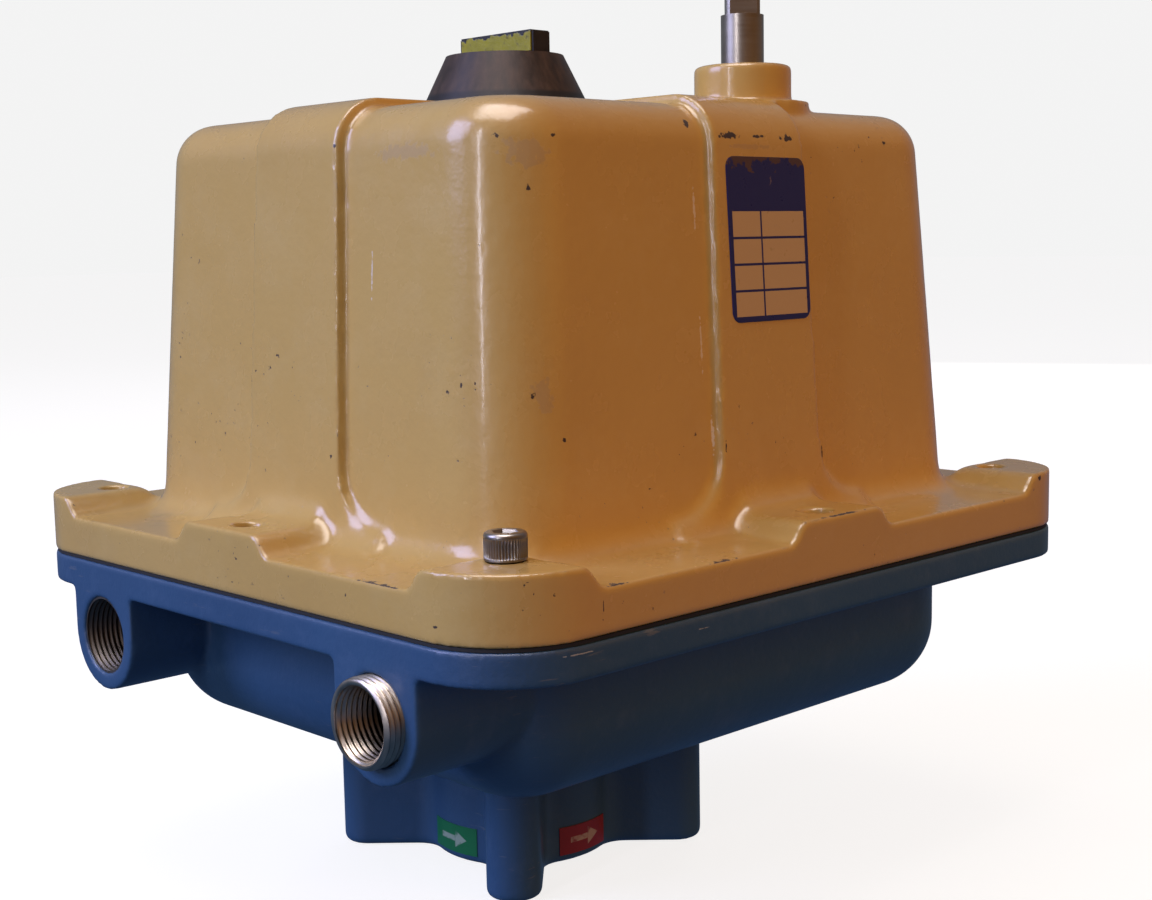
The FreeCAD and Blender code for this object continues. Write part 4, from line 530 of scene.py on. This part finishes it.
def ring_mesh(name, rings, sides, closed):
    """A grid of rings about an axis: each ring is a function from an angle to a point.

    A closed grid joins its last ring to its first; an open one is capped at both ends by a fan.
    """
    verts = [ring(2 * math.pi * step / sides) for ring in rings for step in range(sides)]
    faces = []
    rows = len(rings) if closed else len(rings) - 1
    for row in range(rows):
        here, there = row * sides, (row + 1) % len(rings) * sides
        for step in range(sides):
            after = (step + 1) % sides
            faces.append((here + step, here + after, there + after, there + step))
    if not closed:
        for start, order in ((0, -1), ((len(rings) - 1) * sides, 1)):
            middle = sum((Vector(verts[start + step]) for step in range(sides)), Vector()) / sides
            verts.append(tuple(middle))
            for step in range(sides):
                corner, after = start + step, start + (step + 1) % sides
                faces.append((corner, after, len(verts) - 1)[::order])
    mesh = bpy.data.meshes.new(name)
    mesh.from_pydata(verts, [], faces)
    return mesh


def thread_height(along, angle, pitch):
    """A rounded vee thread, from 0 at its root to 1 at its crest."""
    turn = (along / pitch + angle / (2 * math.pi)) % 1.0
    return min(1.0, max(0.0, 1.25 * (1.0 - abs(2.0 * turn - 1.0)) - 0.1))


def threaded_tube(name, centre, start, length, outside, inside, outer_thread, inner_thread):
    """A tube along Y with a helical thread on both sides; a depth of 0 leaves a side plain."""
    count = int(length / THREAD_PITCH * 9)
    chamfer = 0.8 * MM

    def ring(radius, depth, along, ease, inward):
        def point(angle):
            height = thread_height(along, angle, THREAD_PITCH)
            reach = radius - (depth * (height if inward else 1.0 - height) + ease)
            x = centre.x + reach * math.cos(angle)
            z = centre.z + reach * math.sin(angle)
            return (x, start + along, z)
        return point

    def ends(along):
        """How far the lip is eased at either end of the tube."""
        return max(0.0, chamfer - along) + max(0.0, chamfer - (length - along))

    places = [length * step / count for step in range(count + 1)]
    outer = [ring(outside, outer_thread, place, ends(place) * 0.8, False) for place in places]
    places.reverse()
    inner = [ring(inside, inner_thread, place, -ends(place) * 0.8, True) for place in places]
    return ring_mesh(name, outer + inner, 128, True)


def conduit_entries(materials):
    """The bushing with both its threads, and the bare thread in the other entry."""
    length = BUSHING_HIGH.y - BUSHING_LOW.y
    mesh = threaded_tube(
        "bushing_threads", BUSHING_AXIS, BUSHING_LOW.y, length, BUSHING_RADIUS, BUSHING_BORE,
        THREAD_DEPTH * 0.9, THREAD_DEPTH * 0.7)
    shade(mesh, 50)
    link_mesh(
        "bushing_threads", mesh, materials["bushing_steel"], "housing",
        "conduit_bushing")
    mesh = threaded_tube(
        "left_entry_thread", LEFT_PORT, FRONT_FACE + 0.8 * MM, ENTRY_THREAD_LENGTH,
        PORT_RADIUS - 0.03 * MM, PORT_RADIUS - 0.15 * MM, 0.0, THREAD_DEPTH * 0.7)
    shade(mesh, 50)
    link_mesh("left_entry_thread", mesh, materials["entry_thread"], "housing")


def hexagon(angle, across):
    """Radius of a hexagon of a given width across its flats, at an angle."""
    part = (angle + math.pi / 6) % (math.pi / 3) - math.pi / 6
    return across / 2 / math.cos(part)


def cap_screw(centre, top):
    """Rings of one socket-head screw with a knurled head and a rolled thread."""
    def ring(radius, z, knurl=0.0, thread=0.0):
        def point(angle):
            reach = radius - knurl * abs(math.sin(angle * KNURLS / 2))
            reach -= thread * (1.0 - thread_height(z, angle, SCREW_PITCH))
            return (centre.x + reach * math.cos(angle), centre.y + reach * math.sin(angle), z)
        return point

    def socket(z, scale=1.0):
        def point(angle):
            reach = hexagon(angle, HEX_KEY_ACROSS) * scale
            return (centre.x + reach * math.cos(angle), centre.y + reach * math.sin(angle), z)
        return point

    head, shank = SCREW_HEAD_RADIUS, SCREW_SHANK_RADIUS
    seat = top - SCREW_HEAD_HEIGHT
    tip = seat - SCREW_LENGTH
    threaded = SCREW_LENGTH - 8 * MM
    turns = int(threaded / SCREW_PITCH * 6)
    rings = [ring(shank - 0.6 * MM, tip)]
    for step in range(turns):
        z = tip + 0.6 * MM + threaded * step / turns
        rings.append(ring(shank, z, 0.0, SCREW_THREAD_DEPTH))
    rings += [ring(shank, seat - 6 * MM), ring(shank, seat)]
    rings += [ring(head - 0.5 * MM, seat), ring(head, seat + 0.4 * MM), ring(head, seat + 1.0 * MM)]
    for step in range(5):
        rings.append(ring(head, seat + 1.2 * MM + 4.9 * MM * step / 4, KNURL_DEPTH))
    rings += [ring(head, top - 1.6 * MM), ring(head, top - 0.9 * MM)]
    rings += [ring(head - 0.25 * MM, top - 0.35 * MM), ring(head - 0.8 * MM, top)]
    rings += [ring(head - 1.4 * MM, top), socket(top, 1.06), socket(top - 0.25 * MM)]
    rings += [socket(top - 4.0 * MM), socket(top - 4.4 * MM, 0.5)]
    return rings


def cover_screws(materials):
    """Both socket-head screws, found from the node's box: they stand at its opposite corners."""
    reach = SCREW_HEAD_RADIUS
    corners = (
        Vector((SCREW_HIGH.x - reach, SCREW_LOW.y + reach, 0.0)),
        Vector((SCREW_LOW.x + reach, SCREW_HIGH.y - reach, 0.0)))
    whole = bmesh.new()
    for corner in corners:
        mesh = ring_mesh("cover_screw", cap_screw(corner, SCREW_HIGH.z), 264, False)
        whole.from_mesh(mesh)
    bmesh.ops.recalc_face_normals(whole, faces=whole.faces)
    mesh = bpy.data.meshes.new("cover_screw_pair")
    whole.to_mesh(mesh)
    whole.free()
    shade(mesh, 40)
    link_mesh(
        "cover_screw_pair", mesh, materials["dark_steel"], "housing", "cover_screws")


def label_plate(materials):
    """The cover's plate with rounded corners, lying on its drafted face."""
    draft = math.atan2(DRAFT_RUN, DRAFT_RISE)
    radius, thick = 3.5 * MM, 0.35 * MM
    half_width, half_height = LABEL_HALF_WIDTH, LABEL_HALF_HEIGHT / math.cos(draft)
    outline = []
    for quarter in range(4):
        turn = quarter * math.pi / 2
        side, rise = (1, 1, -1, -1)[quarter], (1, -1, -1, 1)[quarter]
        for step in range(9):
            angle = math.pi / 2 - turn - step * math.pi / 16
            outline.append((
                side * (half_width - radius) + radius * math.cos(angle),
                rise * (half_height - radius) + radius * math.sin(angle)))
    lean = Matrix.Rotation(-draft, 3, "Y")
    verts = []
    for depth, inset in ((0.0, 0.0), (thick * 0.7, 0.0), (thick, 0.12 * MM)):
        for y, z in outline:
            flat = Vector((depth, y * (1 - inset / half_width), z * (1 - inset / half_height)))
            verts.append(lean @ flat + LABEL_MIDDLE - Vector((thick / 2, 0.0, 0.0)))
    count = len(outline)
    faces = [tuple(range(count)), tuple(reversed(range(2 * count, 3 * count)))]
    for layer in range(2):
        for step in range(count):
            after = (step + 1) % count
            low, high = layer * count, (layer + 1) * count
            faces.append((low + step, high + step, high + after, low + after))
    mesh = bpy.data.meshes.new("cover_plate")
    mesh.from_pydata([tuple(vert) for vert in verts], [], faces)
    tidy = bmesh.new()
    tidy.from_mesh(mesh)
    bmesh.ops.recalc_face_normals(tidy, faces=tidy.faces)
    tidy.to_mesh(mesh)
    tidy.free()
    link_mesh("cover_plate", mesh, materials["label_print"], "housing", "cover_label")


def finish_cad_nodes(materials):
    """Gives every remaining CAD node its own slot's procedural material."""
    slots = {part["node"]: part["material_slot"] for part in frame["record"]["subparts"]}
    for name, node in frame["nodes"].items():
        node.data.materials.clear()
        node.data.materials.append(materials[slots[name]])


# ---- Stage, light and camera --------------------------------------------------------------------

PALE = 0.90
LAMP_DISTANCE = 2.2


def stage():
    """A large pale floor that shows soft shadows but throws no light back up."""
    mesh = bpy.data.meshes.new("floor")
    half = 12.0
    corners = ((-half, -half), (half, -half), (half, half), (-half, half))
    mesh.from_pydata([(x, y, BASE_LOW.z) for x, y in corners], [], [(0, 1, 2, 3)])
    floor = bpy.data.objects.new("floor", mesh)
    bpy.context.scene.collection.objects.link(floor)
    finish = Finish("floor", (0.30, 0.30, 0.295), 0.8)
    finish.put("Emission Color", (1.0, 1.0, 0.995, 1.0))
    finish.put("Emission Strength", 0.82)
    mesh.materials.append(finish.material)
    floor.visible_diffuse = False
    floor.visible_glossy = False


def softbox(name, azimuth, elevation, size, power, color, lights="both"):
    """An area light aimed at the object's middle; it may light matt or glossy shading alone."""
    turn, lift = math.radians(azimuth), math.radians(elevation)
    away = Vector((
        math.sin(turn) * math.cos(lift), -math.cos(turn) * math.cos(lift), math.sin(lift)))
    data = bpy.data.lights.new(name, "AREA")
    data.shape = "RECTANGLE"
    data.size, data.size_y = size
    data.energy = power
    data.color = color
    lamp = bpy.data.objects.new(name, data)
    lamp.location = Vector((0.0, 0.0, 0.15)) + away * LAMP_DISTANCE
    lamp.rotation_mode = "QUATERNION"
    lamp.rotation_quaternion = away.to_track_quat("Z", "Y")
    lamp.visible_diffuse = lights != "gloss"
    lamp.visible_glossy = lights != "matt"
    bpy.context.scene.collection.objects.link(lamp)


def studio_world():
    """Pale where the camera sees it; as light, dim and cool below and warmer on the +X side."""
    world = bpy.data.worlds.new("studio")
    world.use_nodes = True
    tree = world.node_tree
    link = tree.links.new
    lit = tree.nodes["Background"]
    seen = tree.nodes.new("ShaderNodeBackground")
    seen.inputs["Color"].default_value = (PALE, PALE, PALE, 1.0)
    parts = tree.nodes.new("ShaderNodeSeparateXYZ")
    link(tree.nodes.new("ShaderNodeTexCoord").outputs["Generated"], parts.inputs[0])
    rise = tree.nodes.new("ShaderNodeMapRange")
    link(parts.outputs["Z"], rise.inputs["Value"])
    for socket, value in (("From Min", -0.5), ("From Max", 0.7), ("To Min", 0.10), ("To Max", 0.30)):
        rise.inputs[socket].default_value = value
    warm = tree.nodes.new("ShaderNodeMapRange")
    link(parts.outputs["X"], warm.inputs["Value"])
    for socket, value in (("From Min", -0.2), ("From Max", 0.9)):
        warm.inputs[socket].default_value = value
    tint = tree.nodes.new("ShaderNodeMix")
    tint.data_type = "RGBA"
    link(warm.outputs["Result"], tint.inputs[0])
    tint.inputs[6].default_value = (0.80, 0.92, 1.12, 1.0)
    tint.inputs[7].default_value = (1.0, 0.44, 0.09, 1.0)
    low = tree.nodes.new("ShaderNodeMapRange")
    link(parts.outputs["Z"], low.inputs["Value"])
    for socket, value in (("From Min", 0.05), ("From Max", -0.35)):
        low.inputs[socket].default_value = value
    cool = tree.nodes.new("ShaderNodeMix")
    cool.data_type = "RGBA"
    link(low.outputs["Result"], cool.inputs[0])
    link(tint.outputs[2], cool.inputs[6])
    cool.inputs[7].default_value = (0.35, 0.70, 1.40, 1.0)
    link(cool.outputs[2], lit.inputs["Color"])
    link(rise.outputs["Result"], lit.inputs["Strength"])
    choose = tree.nodes.new("ShaderNodeMixShader")
    link(tree.nodes.new("ShaderNodeLightPath").outputs["Is Camera Ray"], choose.inputs[0])
    link(lit.outputs[0], choose.inputs[1])
    link(seen.outputs[0], choose.inputs[2])
    link(choose.outputs[0], tree.nodes["World Output"].inputs["Surface"])
    bpy.context.scene.world = world


def lights():
    softbox("key", -28.0, 30.0, (1.1, 1.3), 24.0, (0.87, 0.93, 1.68))
    softbox("strip", 10.0, 20.0, (0.12, 1.3), 9.0, (1.0, 0.98, 1.15))
    softbox("warm_fill", 112.0, 20.0, (1.3, 1.3), 14.0, (1.0, 0.40, 0.04), "matt")
    softbox("top", 20.0, 80.0, (1.3, 1.3), 8.0, (1.0, 0.88, 0.66))
    softbox("back_fill", 205.0, 15.0, (1.3, 1.3), 9.0, (1.0, 0.95, 0.90), "matt")
    softbox("ceiling", 20.0, 78.0, (1.6, 1.6), 52.0, (1.0, 0.93, 0.97), "gloss")
    studio_world()


def camera():
    """The main view: low, facing the corner between the conduit side and the +X side."""
    azimuth, elevation, roll = math.radians(46.09), math.radians(7.18), math.radians(-1.07)
    distance, aside, height = 0.60407, 0.0223, 0.14297
    right = Vector((math.cos(azimuth), math.sin(azimuth), 0.0))
    back = Vector((
        math.sin(azimuth) * math.cos(elevation), -math.cos(azimuth) * math.cos(elevation),
        math.sin(elevation)))
    up = back.cross(right)
    rolled_right = right * math.cos(roll) + up * math.sin(roll)
    rolled_up = up * math.cos(roll) - right * math.sin(roll)
    data = bpy.data.cameras.new("camera")
    data.sensor_width = 36.0
    data.lens = 52.58
    data.clip_start = 0.01
    viewer = bpy.data.objects.new("camera", data)
    place = right * aside + Vector((0.0, 0.0, height)) + back * distance
    turn = Matrix((rolled_right, rolled_up, back)).transposed().to_4x4()
    viewer.matrix_world = Matrix.Translation(place) @ turn
    bpy.context.scene.collection.objects.link(viewer)
    bpy.context.scene.camera = viewer


def all_materials():
    return {
        "cover_enamel": cover_enamel(),
        "base_enamel": base_enamel(),
        "gasket_rubber": moulded("gasket_rubber", (0.012, 0.011, 0.011), 0.7),
        "dark_steel": metal("dark_steel", (0.33, 0.30, 0.27), 0.3, (300.0, 300.0, 300.0)),
        "stainless": metal("stainless", (0.46, 0.41, 0.34), 0.32, (60.0, 60.0, 900.0)),
        "plain_steel": metal("plain_steel", (0.48, 0.48, 0.48), 0.36),
        "bushing_steel": bushing_metal(),
        "entry_thread": metal("entry_thread", (0.17, 0.15, 0.13), 0.5, (300.0, 300.0, 300.0)),
        "bronze": metal("bronze", (0.50, 0.32, 0.13), 0.45, (500.0, 500.0, 500.0)),
        "seal_rubber": moulded("seal_rubber", (0.014, 0.014, 0.014), 0.6),
        "indicator_black": indicator_black(),
        "indicator_yellow": indicator_yellow(),
        "label_green": hub_tag("label_green", (0.012, 0.20, 0.07), "open_label", "X"),
        "label_red": hub_tag("label_red", (0.26, 0.024, 0.02), "closed_label", "Y"),
        "label_print": cover_print(),
        "plate_zinc": metal("plate_zinc", (0.60, 0.58, 0.52), 0.42, (200.0, 200.0, 200.0)),
        "motor_black": moulded("motor_black", (0.02, 0.02, 0.022), 0.4),
        "motor_laminations": metal("motor_laminations", (0.33, 0.33, 0.34), 0.45, (30.0, 30.0, 2500.0)),
        "winding_enamel": moulded("winding_enamel", (0.35, 0.10, 0.03), 0.25),
        "capacitor_case": metal("capacitor_case", (0.70, 0.70, 0.70), 0.3),
        "switch_moulding": moulded("switch_moulding", (0.03, 0.03, 0.033), 0.45),
        "plunger_red": moulded("plunger_red", (0.38, 0.02, 0.015), 0.35),
        "terminal_moulding": moulded("terminal_moulding", (0.035, 0.033, 0.03), 0.5),
        "ground_green": metal("ground_green", (0.05, 0.26, 0.09), 0.4),
    }


def build():
    materials = all_materials()
    finish_cad_nodes(materials)
    castings(materials)
    conduit_entries(materials)
    cover_screws(materials)
    label_plate(materials)
    stage()
    lights()
    camera()
    bpy.context.scene.view_settings.view_transform = "Standard"


build()
